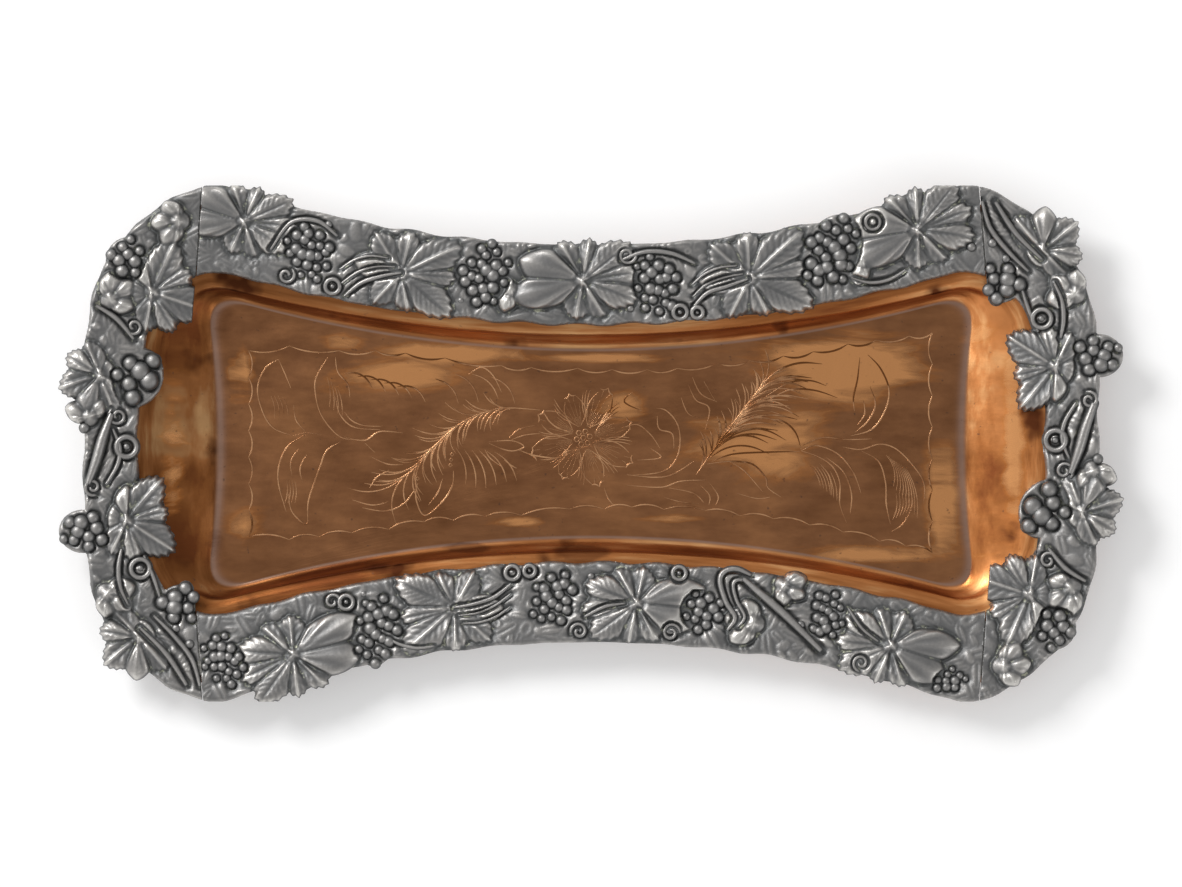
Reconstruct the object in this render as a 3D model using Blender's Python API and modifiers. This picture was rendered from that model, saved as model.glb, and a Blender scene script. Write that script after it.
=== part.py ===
"""A pressed copper tray with four cast grapevine borders soldered to its rim.

+X runs along the tray, +Y to its back and +Z up. The origin is on the table, under the middle of the well.
Sizes are in metres; mm() writes them as millimetres. Run: blender --background --python part.py
"""

import math
from collections import namedtuple

import bmesh
import bpy
from mathutils import Matrix, Vector
from mathutils.bvhtree import BVHTree


def mm(size):
    return size / 1000.0


# ---- Driving dimensions: the outline of the borders' ground ----
LENGTH = mm(304)  # end to end, along the middle
END_SWELL = mm(37)  # how far the ends swell past the corners
WIDTH = mm(158)  # across the corners
SIDE_CURVE = mm(19.5)  # how far the long sides curve in
SIDE_BORDER = mm(24)  # width of a border on the long sides
END_BORDER = mm(16)  # width of a border at the ends

# ---- Driving dimensions: the copper ----
SHEET = mm(0.9)  # thickness of the copper
WALL_RISE = mm(7.0)  # from the well's floor to the inner edge of the rim
RIM_RISE = mm(2.5)  # from the rim's inner edge to its outer edge
SIDE_WALL = mm(6.5)  # width in plan of the wall along the sides
END_WALL = mm(21)  # width in plan of the wall at the ends
OVERHANG = mm(4.5)  # how far the borders stand out past the rim
RIM_SHOWN = mm(1.5)  # rim left bare inside the borders

# ---- Driving dimensions: the castings and their solder ----
CLEARANCE = mm(0.3)  # left between two pieces that touch
SOLDER = mm(0.6)  # thickness of the solder under a casting
CASTING = mm(1.8)  # thickness of a casting's ground
SEAM = mm(1.7)  # gap at a corner between two castings
LEAF_RISE = mm(1.9)  # how far a leaf stands above the ground
BERRY_FLATNESS = 0.72  # height of a berry over its width
BED_MARGIN = mm(0.9)  # ground left round a bunch of grapes

SEAT_GAP = CLEARANCE + SOLDER + CLEARANCE  # from the rim to the back of a casting

# ---- Outlines ----
# An outline is a rectangle whose long sides curve in and whose ends swell out. end_x and side_y are its half
# sizes at the middles, corner_x and corner_y those at the corners, and round_off is each corner's rounding.
Outline = namedtuple("Outline", "end_x corner_x side_y corner_y round_off end_power z")


def inset(end, corner_x, side, corner_y, round_off, end_power, z=0.0):
    """The outline that lies this far inside the borders' own outer edge. A negative inset lies outside."""
    return Outline(
        LENGTH / 2 - end,
        LENGTH / 2 - END_SWELL - corner_x,
        WIDTH / 2 - SIDE_CURVE - side,
        WIDTH / 2 - corner_y,
        round_off,
        end_power,
        z,
    )


def between(outer, inner, end_share, side_share, z):
    """The outline part way from one to another, by one share at the ends and by another at the sides."""
    shares = (end_share, end_share, side_share, side_share, 0, 0)
    mixed = [a + (b - a) * share for a, b, share in zip(outer, inner, shares)]
    return Outline(*mixed, z)


FLOOR_TOP = SHEET
RIM_INNER_Z = FLOOR_TOP + WALL_RISE
RIM_OUTER_Z = RIM_INNER_Z + RIM_RISE
END_INNER = END_BORDER + 2 * RIM_SHOWN  # inset of the rim's inner edge at the ends
SIDE_INNER = SIDE_BORDER + RIM_SHOWN / 2  # and along the sides
CORNER_INNER = SIDE_BORDER + 2 * RIM_SHOWN

# A casting's ground runs from the first of these to the second.
BAND_INNER = inset(END_BORDER, mm(-4), SIDE_BORDER, SIDE_BORDER + mm(1), mm(12), 3.5)
BAND_OUTER = inset(0, 0, 0, 0, mm(6), 4.5)

RIM_OUTER = inset(OVERHANG, OVERHANG - mm(1.5), OVERHANG, OVERHANG, mm(5), 4.5, RIM_OUTER_Z)
RIM_INNER = inset(END_INNER, mm(-6), SIDE_INNER, CORNER_INNER, mm(13), 3.0, RIM_INNER_Z)
FLOOR_EDGE = inset(
    END_INNER + END_WALL, mm(-1), SIDE_INNER + SIDE_WALL, CORNER_INNER + SIDE_WALL, mm(13), 2.0, FLOOR_TOP
)
WALL = between(RIM_INNER, FLOOR_EDGE, 0.52, 0.42, FLOOR_TOP + 0.5 * WALL_RISE)
COVE = between(RIM_INNER, FLOOR_EDGE, 0.86, 0.77, FLOOR_TOP + 0.09 * WALL_RISE)

# The castings lie on the rim's slope, which these two carry on past the copper on both sides.
SEAT_INNER = inset(
    END_INNER + mm(25), mm(9), SIDE_INNER + mm(10), CORNER_INNER + mm(13), mm(11), 2.0, RIM_INNER_Z - mm(1)
)
SEAT_OUTER = inset(mm(-20), mm(-13), mm(-15), mm(-15), mm(5), 4.5, RIM_OUTER_Z + mm(0.6))

SIDE_STEPS = 7
CORNER_STEPS = 4
END_STEPS = 5
QUARTER = SIDE_STEPS + CORNER_STEPS + END_STEPS
ROUND = 4 * QUARTER
CORNER = SIDE_STEPS + CORNER_STEPS // 2  # index of a corner's middle in its quarter

# Each casting's span, as indices of the outline's points from one corner to the next, clockwise.
BACK_RIGHT = CORNER
FRONT_RIGHT = 2 * QUARTER - CORNER
FRONT_LEFT = 2 * QUARTER + CORNER
BACK_LEFT = ROUND - CORNER
SPANS = {
    "back": (BACK_LEFT, BACK_RIGHT + ROUND),
    "right": (BACK_RIGHT, FRONT_RIGHT),
    "front": (FRONT_RIGHT, FRONT_LEFT),
    "left": (FRONT_LEFT, BACK_LEFT),
}

# ---- Leaves: the lobes of each pattern, as (direction in degrees, length, half width) ----
OPEN_LEAF = [
    (172, mm(13.5), mm(3.6)),
    (128, mm(14.5), mm(3.8)),
    (86, mm(13.5), mm(3.8)),
    (38, mm(19.5), mm(4.6)),
    (6, mm(15.5), mm(3.8)),
    (-34, mm(19.0), mm(4.4)),
    (-72, mm(12.0), mm(3.6)),
    (-122, mm(12.5), mm(3.6)),
]
FOLDED_LEAF = [
    (160, mm(17.5), mm(4.8)),
    (196, mm(19.5), mm(4.2)),
    (118, mm(13.0), mm(3.8)),
    (82, mm(12.5), mm(3.4)),
    (42, mm(16.5), mm(4.2)),
    (10, mm(15.5), mm(3.6)),
    (-22, mm(15.5), mm(4.4)),
    (-62, mm(12.0), mm(3.8)),
    (-100, mm(11.5), mm(3.8)),
]
INWARD_LEAF = [
    (240, mm(16.5), mm(4.4)),
    (282, mm(12.5), mm(3.8)),
    (318, mm(15.5), mm(4.2)),
    (194, mm(11.5), mm(3.6)),
    (152, mm(10.5), mm(3.4)),
    (2, mm(9.5), mm(3.2)),
]
OUTWARD_LEAF = [
    (202, mm(11.5), mm(3.4)),
    (152, mm(11.5), mm(3.6)),
    (106, mm(13.0), mm(3.8)),
    (62, mm(11.5), mm(3.6)),
    (24, mm(10.0), mm(3.2)),
]
SPRIG = [(118, mm(6.5), mm(2.4)), (180, mm(7.0), mm(2.8)), (232, mm(7.5), mm(2.6))]

# ---- Where the leaves, bunches and stems lie ----
# along is the share of the way along a casting, clockwise, and across is 0 at its inner edge and 1 at its
# outer. Turns are in degrees from the casting's own direction there.
Leaf = namedtuple("Leaf", "lobes along across turn size")
Bunch = namedtuple("Bunch", "along across length width turn count berry")
Stem = namedtuple("Stem", "along across radius points closed")


def stem(along, across, radius, *points):
    """A stem through points given in millimetres from its place: forwards, then outwards."""
    return Stem(along, across, radius, [(mm(x), mm(y)) for x, y in points], False)


def curl(along, across, size, radius=mm(0.7)):
    """A tendril's closed loop."""
    turns = [2 * math.pi * i / 8 for i in range(8)]
    return Stem(along, across, radius, [(size * math.cos(turn), size * math.sin(turn)) for turn in turns], True)


BACK_LEAVES = [
    Leaf(FOLDED_LEAF, 0.06, 0.65, 1, 0.86),
    Leaf(OPEN_LEAF, 0.26, 0.45, -1, 0.92),
    Leaf(FOLDED_LEAF, 0.49, 0.55, 1, 0.98),
    Leaf(OPEN_LEAF, 0.70, 0.45, -1, 0.98),
    Leaf(FOLDED_LEAF, 0.915, 0.62, -3, 0.98),
    Leaf(SPRIG, 0.40, 0.40, 24, 0.85),
    Leaf(SPRIG, 0.845, 0.42, 17, 0.9),
]
BACK_BUNCHES = [
    Bunch(0.142, 0.50, mm(18.5), mm(14.0), -62, 13, mm(2.05)),
    Bunch(0.367, 0.57, mm(20.5), mm(15.0), 76, 15, mm(2.2)),
    Bunch(0.583, 0.47, mm(20.5), mm(13.5), -82, 14, mm(2.15)),
    Bunch(0.805, 0.60, mm(23.5), mm(16.0), 57, 16, mm(2.4)),
]
BACK_STEMS = [
    stem(0.223, 0.30, mm(0.9), (-7.6, -5.9), (-3.4, -1.1), (2.1, 2.0), (7.8, 4.1)),
    stem(0.662, 0.33, mm(0.9), (-7.9, -3.5), (-3.5, 0), (2.7, 1.4), (8.9, 2.8)),
    stem(0.138, 0.72, mm(0.9), (-8.7, -7.4), (-4.6, 1.8), (3.0, 4.0), (9.9, 1.0)),
    stem(0.583, 0.82, mm(0.9), (-10.8, -0.2), (-3.6, 1.8), (4.3, 0.8), (11.1, -2.6)),
    curl(0.170, 0.15, mm(2.2)),
    curl(0.310, 0.15, mm(2.0)),
    curl(0.613, 0.12, mm(2.1)),
    curl(0.635, 0.10, mm(1.7)),
    curl(0.760, 0.17, mm(2.1)),
    curl(0.855, 0.85, mm(2.2)),
]

FRONT_LEAVES = [
    Leaf(FOLDED_LEAF, 0.12, 0.57, -1, 0.92),
    Leaf(SPRIG, 0.255, 0.10, -22, 0.9),
    Leaf(SPRIG, 0.295, 0.62, 178, 1.1),
    Leaf(FOLDED_LEAF, 0.443, 0.50, -1, 0.92),
    Leaf(OPEN_LEAF, 0.672, 0.47, 0, 0.92),
    Leaf(FOLDED_LEAF, 0.877, 0.68, 3, 0.98),
]
FRONT_BUNCHES = [
    Bunch(0.045, 0.78, mm(11.0), mm(7.5), 35, 6, mm(1.6)),
    Bunch(0.200, 0.38, mm(16.5), mm(10.5), -89, 11, mm(1.85)),
    Bunch(0.360, 0.55, mm(13.5), mm(12.5), 6, 11, mm(2.05)),
    Bunch(0.547, 0.45, mm(17.5), mm(13.5), 69, 13, mm(2.05)),
    Bunch(0.770, 0.60, mm(22.0), mm(13.5), 69, 15, mm(2.15)),
    Bunch(0.970, 0.53, mm(18.0), mm(12.0), -73, 11, mm(1.85)),
]
FRONT_STEMS = [
    stem(0.635, 0.40, mm(0.9), (-8.5, -3.6), (-3.1, -0.2), (3.1, 1.2), (9.2, 1.6)),
    stem(
        0.323, 0.28, mm(1.1),
        (-0.2, 11.2), (-2.0, 7.3), (1.2, 2.9), (3.6, -3.1), (2.4, -6.2), (-1.2, -7.2), (-5.4, -5.8),
    ),
    stem(0.263, 0.42, mm(1.6), (11.9, -7.9), (4.8, -3.4), (-3.0, 1.6), (-14.4, 10.0)),
    stem(0.155, 0.40, mm(0.9), (5.3, -3.9), (0.1, 1.0), (-5.7, 3.8)),
    stem(0.482, 0.57, mm(0.9), (6.1, 2.7), (0.2, -0.4), (-5.8, -1.5)),
    curl(0.388, 0.10, mm(2.0)),
    curl(0.578, 0.09, mm(1.7)),
    curl(0.600, 0.10, mm(2.1)),
    curl(0.812, 0.20, mm(2.1)),
]

# The two end castings are from one mould: the left one is the right one turned half round.
END_LEAVES = [
    Leaf(OUTWARD_LEAF, 0.145, 0.78, -20, 0.98),
    Leaf(INWARD_LEAF, 0.318, 0.23, -8, 0.95),
    Leaf(OUTWARD_LEAF, 0.625, 0.70, 2, 0.95),
    Leaf(INWARD_LEAF, 0.873, 0.25, 56, 1.0),
]
END_BUNCHES = [
    Bunch(0.035, 0.05, mm(14.5), mm(11.5), 45, 8, mm(2.7)),
    Bunch(0.362, 1.08, mm(13.5), mm(11.0), 88, 8, mm(2.45)),
    Bunch(0.680, -0.03, mm(15.0), mm(14.0), -22, 8, mm(3.0)),
    Bunch(0.828, 0.82, mm(12.5), mm(10.5), 12, 8, mm(2.25)),
]
END_STEMS = [
    stem(0.045, 0.53, mm(1.0), (-11.6, 5.4), (-4.9, 0.4), (3.7, -2.1), (12.1, -3.4)),
    stem(0.087, 0.72, mm(1.2), (-11.1, 0.8), (-0.4, -0.7), (10.9, 0)),
    stem(0.490, 0.68, mm(2.0), (-10.4, 3.7), (-3.4, 1.2), (3.6, -0.8), (10.6, -3.3)),
    stem(0.743, 0.55, mm(1.1), (-3.2, -6.9), (0.6, -0.1), (2.1, 7.0)),
    stem(0.138, 0.08, mm(0.9), (-6.2, 2.6), (-0.4, 0.1), (6.2, -2.0)),
    curl(0.193, 0.20, mm(2.8), mm(0.8)),
    curl(0.492, 0.20, mm(3.0), mm(0.9)),
]
GOLDEN_ANGLE = math.pi * (3.0 - math.sqrt(5.0))


# ---- The scene ----
def collection(name):
    made = bpy.data.collections.new(name)
    bpy.context.scene.collection.children.link(made)
    return made


for old in list(bpy.data.objects):
    bpy.data.objects.remove(old)
TRAY = collection("grapevine_tray")
CUTTERS = collection("cutters")


def material(name, colour, roughness):
    made = bpy.data.materials.new(name)
    made.use_nodes = True
    shader = made.node_tree.nodes["Principled BSDF"]
    shader.inputs["Base Color"].default_value = (*colour, 1.0)
    shader.inputs["Metallic"].default_value = 1.0
    shader.inputs["Roughness"].default_value = roughness
    return made


COPPER = material("pressed_copper", (0.66, 0.29, 0.12), 0.28)
SILVERED = material("silvered_white_metal", (0.42, 0.42, 0.40), 0.38)
SOFT_SOLDER = material("soft_solder", (0.50, 0.50, 0.49), 0.5)


def object_of(mesh, name, group, finish):
    made = bpy.data.objects.new(name, mesh)
    made.data.materials.append(finish)
    group.objects.link(made)
    return made


def helper_of(mesh, name):
    """An object that cuts or joins, and isn't itself part of the tray."""
    made = object_of(mesh, name, CUTTERS, SILVERED)
    made.hide_render = True
    made.display_type = "WIRE"
    return made


def mesh_of(body, name):
    mesh = bpy.data.meshes.new(name)
    bmesh.ops.recalc_face_normals(body, faces=body.faces)
    body.to_mesh(mesh)
    body.free()
    mesh.shade_smooth()
    mesh.set_sharp_from_angle(angle=math.radians(35))
    return mesh


# ---- Outlines and lofts ----
def side_point(line, x):
    """The point of the long side at x."""
    return Vector((x, line.side_y + (line.corner_y - line.side_y) * (x / line.corner_x) ** 2))


def end_point(line, y):
    """The point of the end at y."""
    swell = (line.corner_x - line.end_x) * (y / line.corner_y) ** line.end_power
    return Vector((line.end_x + swell, y))


def quarter(line):
    """The outline's points from the middle of the back to the middle of the right end."""
    start = side_point(line, line.corner_x - line.round_off)
    stop = end_point(line, line.corner_y - line.round_off)
    corner = Vector((line.corner_x, line.corner_y))
    points = [side_point(line, start.x * i / SIDE_STEPS) for i in range(SIDE_STEPS)]
    for i in range(CORNER_STEPS + 1):
        t = i / CORNER_STEPS
        points.append(start.lerp(corner, t).lerp(corner.lerp(stop, t), t))
    return points + [end_point(line, stop.y * (1 - i / END_STEPS)) for i in range(1, END_STEPS + 1)]


def loop(line):
    """The whole outline, clockwise from the middle of the back."""
    first = quarter(line)
    right = first + [Vector((p.x, -p.y)) for p in reversed(first[:-1])]
    return right + [Vector((-p.x, p.y)) for p in reversed(right[1:-1])]


def ring(body, line):
    return [body.verts.new((p.x, p.y, line.z)) for p in loop(line)]


def bridge(body, row, next_row, closed=True):
    last = len(row) if closed else len(row) - 1
    for i in range(last):
        j = (i + 1) % len(row)
        body.faces.new((row[i], row[j], next_row[j], next_row[i]))


def sheet_of(body, name, finish, thickness, offset):
    """An open surface, face up, given a thickness below (-1) or above (1) it."""
    made = object_of(mesh_of(body, name), name, TRAY, finish)
    if made.data.polygons[0].normal.z < 0:
        made.data.flip_normals()
    skin = made.modifiers.new("thickness", "SOLIDIFY")
    skin.thickness = thickness
    skin.offset = offset
    skin.use_even_offset = True
    return made


# ---- The copper ----
def tray_body():
    body = bmesh.new()
    rings = [ring(body, line) for line in (FLOOR_EDGE, COVE, WALL, RIM_INNER, RIM_OUTER)]
    body.faces.new(reversed(rings[0]))
    for row, next_row in zip(rings, rings[1:]):
        bridge(body, row, next_row)
    return sheet_of(body, "tray_body", COPPER, SHEET, -1.0)


# ---- The seat: the slope that every casting lies on ----
def seat_tree():
    body = bmesh.new()
    rings = [ring(body, line) for line in (SEAT_INNER, RIM_INNER, RIM_OUTER, SEAT_OUTER)]
    for row, next_row in zip(rings, rings[1:]):
        bridge(body, row, next_row)
    body.normal_update()
    tree = BVHTree.FromBMesh(body)
    body.free()
    return tree


SEAT = seat_tree()
ABOVE = mm(500)


def seat(x, y):
    """The seat's point and its upward normal over x, y."""
    point, normal, _, _ = SEAT.ray_cast(Vector((x, y, ABOVE)), Vector((0, 0, -1)))
    return point, normal if normal.z > 0 else -normal


# ---- Places along a casting ----
def band(span):
    """The band's inner and outer points from one corner to the next."""
    inner, outer = loop(BAND_INNER), loop(BAND_OUTER)
    return [(inner[i % ROUND], outer[i % ROUND]) for i in range(span[0], span[1] + 1)]


def on_band(span, along, across):
    """The point at these shares of a casting, and the casting's direction there."""
    rows = band(span)
    middles = [near.lerp(far, 0.5) for near, far in rows]
    lengths = [(b - a).length for a, b in zip(middles, middles[1:])]
    left = along * sum(lengths)
    i = 0
    while i < len(lengths) - 1 and left > lengths[i]:
        left -= lengths[i]
        i += 1
    share = left / lengths[i]
    near = rows[i][0].lerp(rows[i + 1][0], share)
    far = rows[i][1].lerp(rows[i + 1][1], share)
    return near.lerp(far, across), (middles[i + 1] - middles[i]).normalized()


def frame_at(span, motif):
    """The flat frame of a motif: forwards along the casting, then outwards."""
    spot, direction = on_band(span, motif.along, motif.across)
    heading = math.atan2(direction.y, direction.x)
    return Matrix.Translation(spot.to_3d()) @ Matrix.Rotation(heading, 4, "Z")


def lying(frame, turn, height):
    """The frame turned, tilted to the seat under it and lifted off it."""
    ground, normal = seat(frame.translation.x, frame.translation.y)
    tilt = Vector((0, 0, 1)).rotation_difference(normal).to_matrix().to_4x4()
    flat = frame.to_3x3().to_4x4() @ Matrix.Rotation(math.radians(turn), 4, "Z")
    return Matrix.Translation(ground + normal * height) @ tilt @ flat


# ---- Strips: the ground of a casting, and the solder under it ----
STRIP_COLUMNS = 4


def strip(name, finish, span, shares, height, thickness):
    """A strip along the band between two shares of its width, at a height above the seat."""
    rows = []
    for near, far in band(span):
        steps = [shares[0] + (shares[1] - shares[0]) * k / (STRIP_COLUMNS - 1) for k in range(STRIP_COLUMNS)]
        rows.append([near.lerp(far, step) for step in steps])
    for end, neighbour in ((rows[0], rows[1]), (rows[-1], rows[-2])):
        for k, point in enumerate(end):
            end[k] = point + (neighbour[k] - point).normalized() * SEAM / 2
    body = bmesh.new()
    lifted = [[body.verts.new(seat(p.x, p.y)[0] + Vector((0, 0, height))) for p in row] for row in rows]
    for row, next_row in zip(lifted, lifted[1:]):
        bridge(body, row, next_row, closed=False)
    return sheet_of(body, name, finish, thickness, 1.0)


# ---- Leaves, grapes and stems ----
def leaf_radius(lobes, angle):
    """How far the leaf reaches in one direction."""
    reach = LEAF_HEART
    for direction, length, half_width in lobes:
        turn = (angle - math.radians(direction) + math.pi) % (2 * math.pi) - math.pi
        spread = 1.9 * half_width / length
        if abs(turn) < spread:
            reach = max(reach, length * (1.0 - 0.55 * (turn / spread) ** 2))
    return reach


LEAF_HEART = mm(4)  # radius that the notches between the lobes reach in to
LEAF_POINTS = 27
# A leaf's rings, as (share of its reach, share of its rise): straight sides, a rounded shoulder, a raised middle.
LEAF_RINGS = [(1.0, 0.0), (1.0, 0.55), (0.6, 1.1)]
LEAF_MIDDLE = 0.9


def leaf_body(leaf, span):
    """A puffed, lobed leaf on the seat, closed by its flat back and by a point at its middle."""
    rise = CASTING - CLEARANCE + LEAF_RISE
    body = bmesh.new()
    rings = []
    for share, height in LEAF_RINGS:
        row = []
        for i in range(LEAF_POINTS):
            angle = 2 * math.pi * i / LEAF_POINTS
            reach = share * leaf.size * leaf_radius(leaf.lobes, angle)
            row.append(body.verts.new((reach * math.cos(angle), reach * math.sin(angle), rise * height)))
        rings.append(row)
    body.faces.new(reversed(rings[0]))
    for row, next_row in zip(rings, rings[1:]):
        bridge(body, row, next_row)
    middle = body.verts.new((0, 0, rise * LEAF_MIDDLE))
    top = rings[-1]
    for i in range(LEAF_POINTS):
        body.faces.new((top[i], top[(i + 1) % LEAF_POINTS], middle))
    body.transform(lying(frame_at(span, leaf), leaf.turn, SEAT_GAP + CLEARANCE))
    return body


def berries(bunch):
    """Each berry's place and radius: a spiral that fills the bunch's oval, largest in the middle."""
    turn = Matrix.Rotation(math.radians(bunch.turn), 2)
    for k in range(bunch.count):
        spread = math.sqrt((k + 0.5) / bunch.count)
        radius = bunch.berry * (1.08 - 0.35 * spread * spread)
        angle = k * GOLDEN_ANGLE
        along = (bunch.length / 2 - radius) * spread * math.cos(angle)
        across = (bunch.width / 2 - radius) * spread * math.sin(angle)
        yield turn @ Vector((along, across)), radius


def bunch_body(bunch, span):
    """The bunch's oval bed and its berries, which overlap each other."""
    frame = frame_at(span, bunch)
    size = Matrix.Diagonal((bunch.length / 2 + BED_MARGIN, bunch.width / 2 + BED_MARGIN, CASTING, 1))
    bed = lying(frame, bunch.turn, SEAT_GAP + CLEARANCE + CASTING / 2) @ size
    body = bmesh.new()
    bmesh.ops.create_cone(body, cap_ends=True, segments=18, radius1=1, radius2=1, depth=1, matrix=bed)
    for centre, radius in berries(bunch):
        spot = frame @ centre.to_3d()
        ground, _ = seat(spot.x, spot.y)
        height = SEAT_GAP + CLEARANCE + radius * BERRY_FLATNESS
        place = Matrix.Translation(ground + Vector((0, 0, height)))
        size = Matrix.Diagonal((radius, radius, radius * BERRY_FLATNESS, 1))
        bmesh.ops.create_uvsphere(body, u_segments=7, v_segments=4, radius=1, matrix=place @ size)
    return body


def stem_body(motif, span):
    """A round stem along its points, sunk a little into the ground."""
    frame = frame_at(span, motif)
    path = bpy.data.curves.new("stem", "CURVE")
    path.dimensions = "3D"
    path.bevel_depth = motif.radius
    path.bevel_resolution = 1
    path.use_fill_caps = True
    line = path.splines.new("POLY")
    line.points.add(len(motif.points) - 1)
    line.use_cyclic_u = motif.closed
    height = SEAT_GAP + CASTING + STEM_LIFT * motif.radius
    for point, (forwards, outwards) in zip(line.points, motif.points):
        spot = frame @ Vector((forwards, outwards, 0))
        ground, _ = seat(spot.x, spot.y)
        point.co = (*(ground + Vector((0, 0, height))), 1)
    curve = bpy.data.objects.new("stem", path)
    CUTTERS.objects.link(curve)
    graph = bpy.context.evaluated_depsgraph_get()
    body = bmesh.new()
    body.from_mesh(bpy.data.meshes.new_from_object(curve.evaluated_get(graph)))
    bpy.data.objects.remove(curve)
    bmesh.ops.remove_doubles(body, verts=body.verts, dist=mm(0.001))
    return body


STEM_LIFT = 0.0  # a stem is a half round: its centre lies on the ground, at this share of its radius above it


# ---- Castings ----
def relief(name, span, leaves, bunches, stems):
    """All the leaves, bunches and stems of one casting, as one helper object."""
    bodies = [leaf_body(leaf, span) for leaf in leaves]
    bodies += [bunch_body(bunch, span) for bunch in bunches]
    bodies += [stem_body(motif, span) for motif in stems]
    whole = bmesh.new()
    for body in bodies:
        part = bpy.data.meshes.new("motif")
        body.to_mesh(part)
        body.free()
        whole.from_mesh(part)
        bpy.data.meshes.remove(part)
    return helper_of(mesh_of(whole, name), name)


TRIM = mm(40)  # size of the block that trims a casting at a corner


def trim(name, index, side):
    """A block that covers everything past one corner's seam, on the side of the next (1) or last (-1) casting."""
    inner, outer = loop(BAND_INNER)[index % ROUND], loop(BAND_OUTER)[index % ROUND]
    along = (outer - inner).normalized().to_3d()
    across = Vector((along.y, -along.x, 0)) * side
    middle = inner.lerp(outer, 0.5).to_3d() + across * (TRIM / 2 - SEAM / 2) + Vector((0, 0, RIM_OUTER_Z))
    turn = Vector((1, 0, 0)).rotation_difference(along).to_matrix().to_4x4()
    size = Matrix.Diagonal((3 * TRIM, TRIM, TRIM, 1))
    body = bmesh.new()
    bmesh.ops.create_cube(body, size=1, matrix=Matrix.Translation(middle) @ turn @ size)
    return helper_of(mesh_of(body, name), name)


def casting(name, span, leaves, bunches, stems):
    made = strip(name, SILVERED, span, (0.0, 1.0), SEAT_GAP, CASTING)
    union = made.modifiers.new("relief", "BOOLEAN")
    union.operation = "UNION"
    union.object = relief(name + "_relief", span, leaves, bunches, stems)
    union.use_self = True
    for index, side in ((span[0], -1), (span[1], 1)):
        cut = made.modifiers.new("corner", "BOOLEAN")
        cut.operation = "DIFFERENCE"
        cut.object = trim(f"{name}_trim_{index}", index, side)
    return made


# ---- Solder ----
RUN_SHARES = (0.25, 0.7)  # the part of the band's width that has solder under it


def solder_run(name, span):
    """The solder between the rim and one casting, short of the casting's ends."""
    return strip(name, SOFT_SOLDER, (span[0] + 1, span[1] - 1), RUN_SHARES, CLEARANCE, SOLDER)


BEAD_SHARES = (0.12, 0.72)  # the part of a corner seam's length that holds solder
BEAD_LIFT = mm(0.1)  # keeps the straight bead off the rim's curve


def corner_solder(name, index):
    """The bead that fills the seam between two castings at a corner."""
    inner, outer = loop(BAND_INNER)[index], loop(BAND_OUTER)[index]
    near, far = (seat(*inner.lerp(outer, share))[0] for share in BEAD_SHARES)
    along = far - near
    high = SEAT_GAP + CASTING / 2
    middle = (near + far) / 2 + Vector((0, 0, CLEARANCE + BEAD_LIFT + high / 2))
    turn = Vector((1, 0, 0)).rotation_difference(along.normalized()).to_matrix().to_4x4()
    size = Matrix.Diagonal((along.length, SEAM - 2.4 * CLEARANCE, high, 1))
    body = bmesh.new()
    bmesh.ops.create_cube(body, size=1, matrix=Matrix.Translation(middle) @ turn @ size)
    return object_of(mesh_of(body, name), name, TRAY, SOFT_SOLDER)


tray_body()
casting("back_border", SPANS["back"], BACK_LEAVES, BACK_BUNCHES, BACK_STEMS)
casting("front_border", SPANS["front"], FRONT_LEAVES, FRONT_BUNCHES, FRONT_STEMS)
casting("right_border", SPANS["right"], END_LEAVES, END_BUNCHES, END_STEMS)
casting("left_border", SPANS["left"], END_LEAVES, END_BUNCHES, END_STEMS)
for side, span in SPANS.items():
    solder_run(side + "_solder_run", span)
corner_solder("back_right_corner_solder", BACK_RIGHT)
corner_solder("front_right_corner_solder", FRONT_RIGHT)
corner_solder("front_left_corner_solder", FRONT_LEFT)
corner_solder("back_left_corner_solder", BACK_LEFT)
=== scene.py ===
# %% [markdown]
# # A copper tray with silvered grapevine borders
# The tray is a thin sheet of copper pressed into a shallow well. Four borders of white metal, cast with
# vine leaves, grapes and tendrils, are soldered along its rim, and the floor of the well is engraved by
# hand. This file gives that tray its looks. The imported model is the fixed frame: its rim, corners and
# slopes say where everything here goes. The sheet and the castings below stand in for the frame's plainer
# ones, and its solder stays.

import math
from collections import Counter, namedtuple

import bmesh
import bpy
import numpy as np
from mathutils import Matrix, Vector


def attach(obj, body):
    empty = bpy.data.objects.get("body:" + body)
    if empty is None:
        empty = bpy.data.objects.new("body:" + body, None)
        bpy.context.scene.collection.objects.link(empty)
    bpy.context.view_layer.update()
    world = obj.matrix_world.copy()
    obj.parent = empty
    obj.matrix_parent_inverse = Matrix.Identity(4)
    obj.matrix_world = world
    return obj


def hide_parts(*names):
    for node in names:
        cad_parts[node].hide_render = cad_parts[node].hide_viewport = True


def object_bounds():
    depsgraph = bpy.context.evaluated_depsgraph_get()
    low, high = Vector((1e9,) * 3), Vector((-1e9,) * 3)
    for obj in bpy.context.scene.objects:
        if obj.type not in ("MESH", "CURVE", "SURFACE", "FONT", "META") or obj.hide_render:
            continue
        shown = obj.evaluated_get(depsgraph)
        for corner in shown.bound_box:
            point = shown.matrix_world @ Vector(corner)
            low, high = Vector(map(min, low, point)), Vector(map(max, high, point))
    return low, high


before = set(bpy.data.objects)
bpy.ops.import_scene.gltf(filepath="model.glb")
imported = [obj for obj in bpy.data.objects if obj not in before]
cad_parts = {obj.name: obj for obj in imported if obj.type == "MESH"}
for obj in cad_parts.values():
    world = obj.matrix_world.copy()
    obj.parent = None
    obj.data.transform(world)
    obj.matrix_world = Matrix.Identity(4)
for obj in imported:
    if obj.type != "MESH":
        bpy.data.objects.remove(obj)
CAD_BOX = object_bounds()
print("frame box in mm:", [[round(1000 * c, 1) for c in corner] for corner in CAD_BOX])


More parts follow.
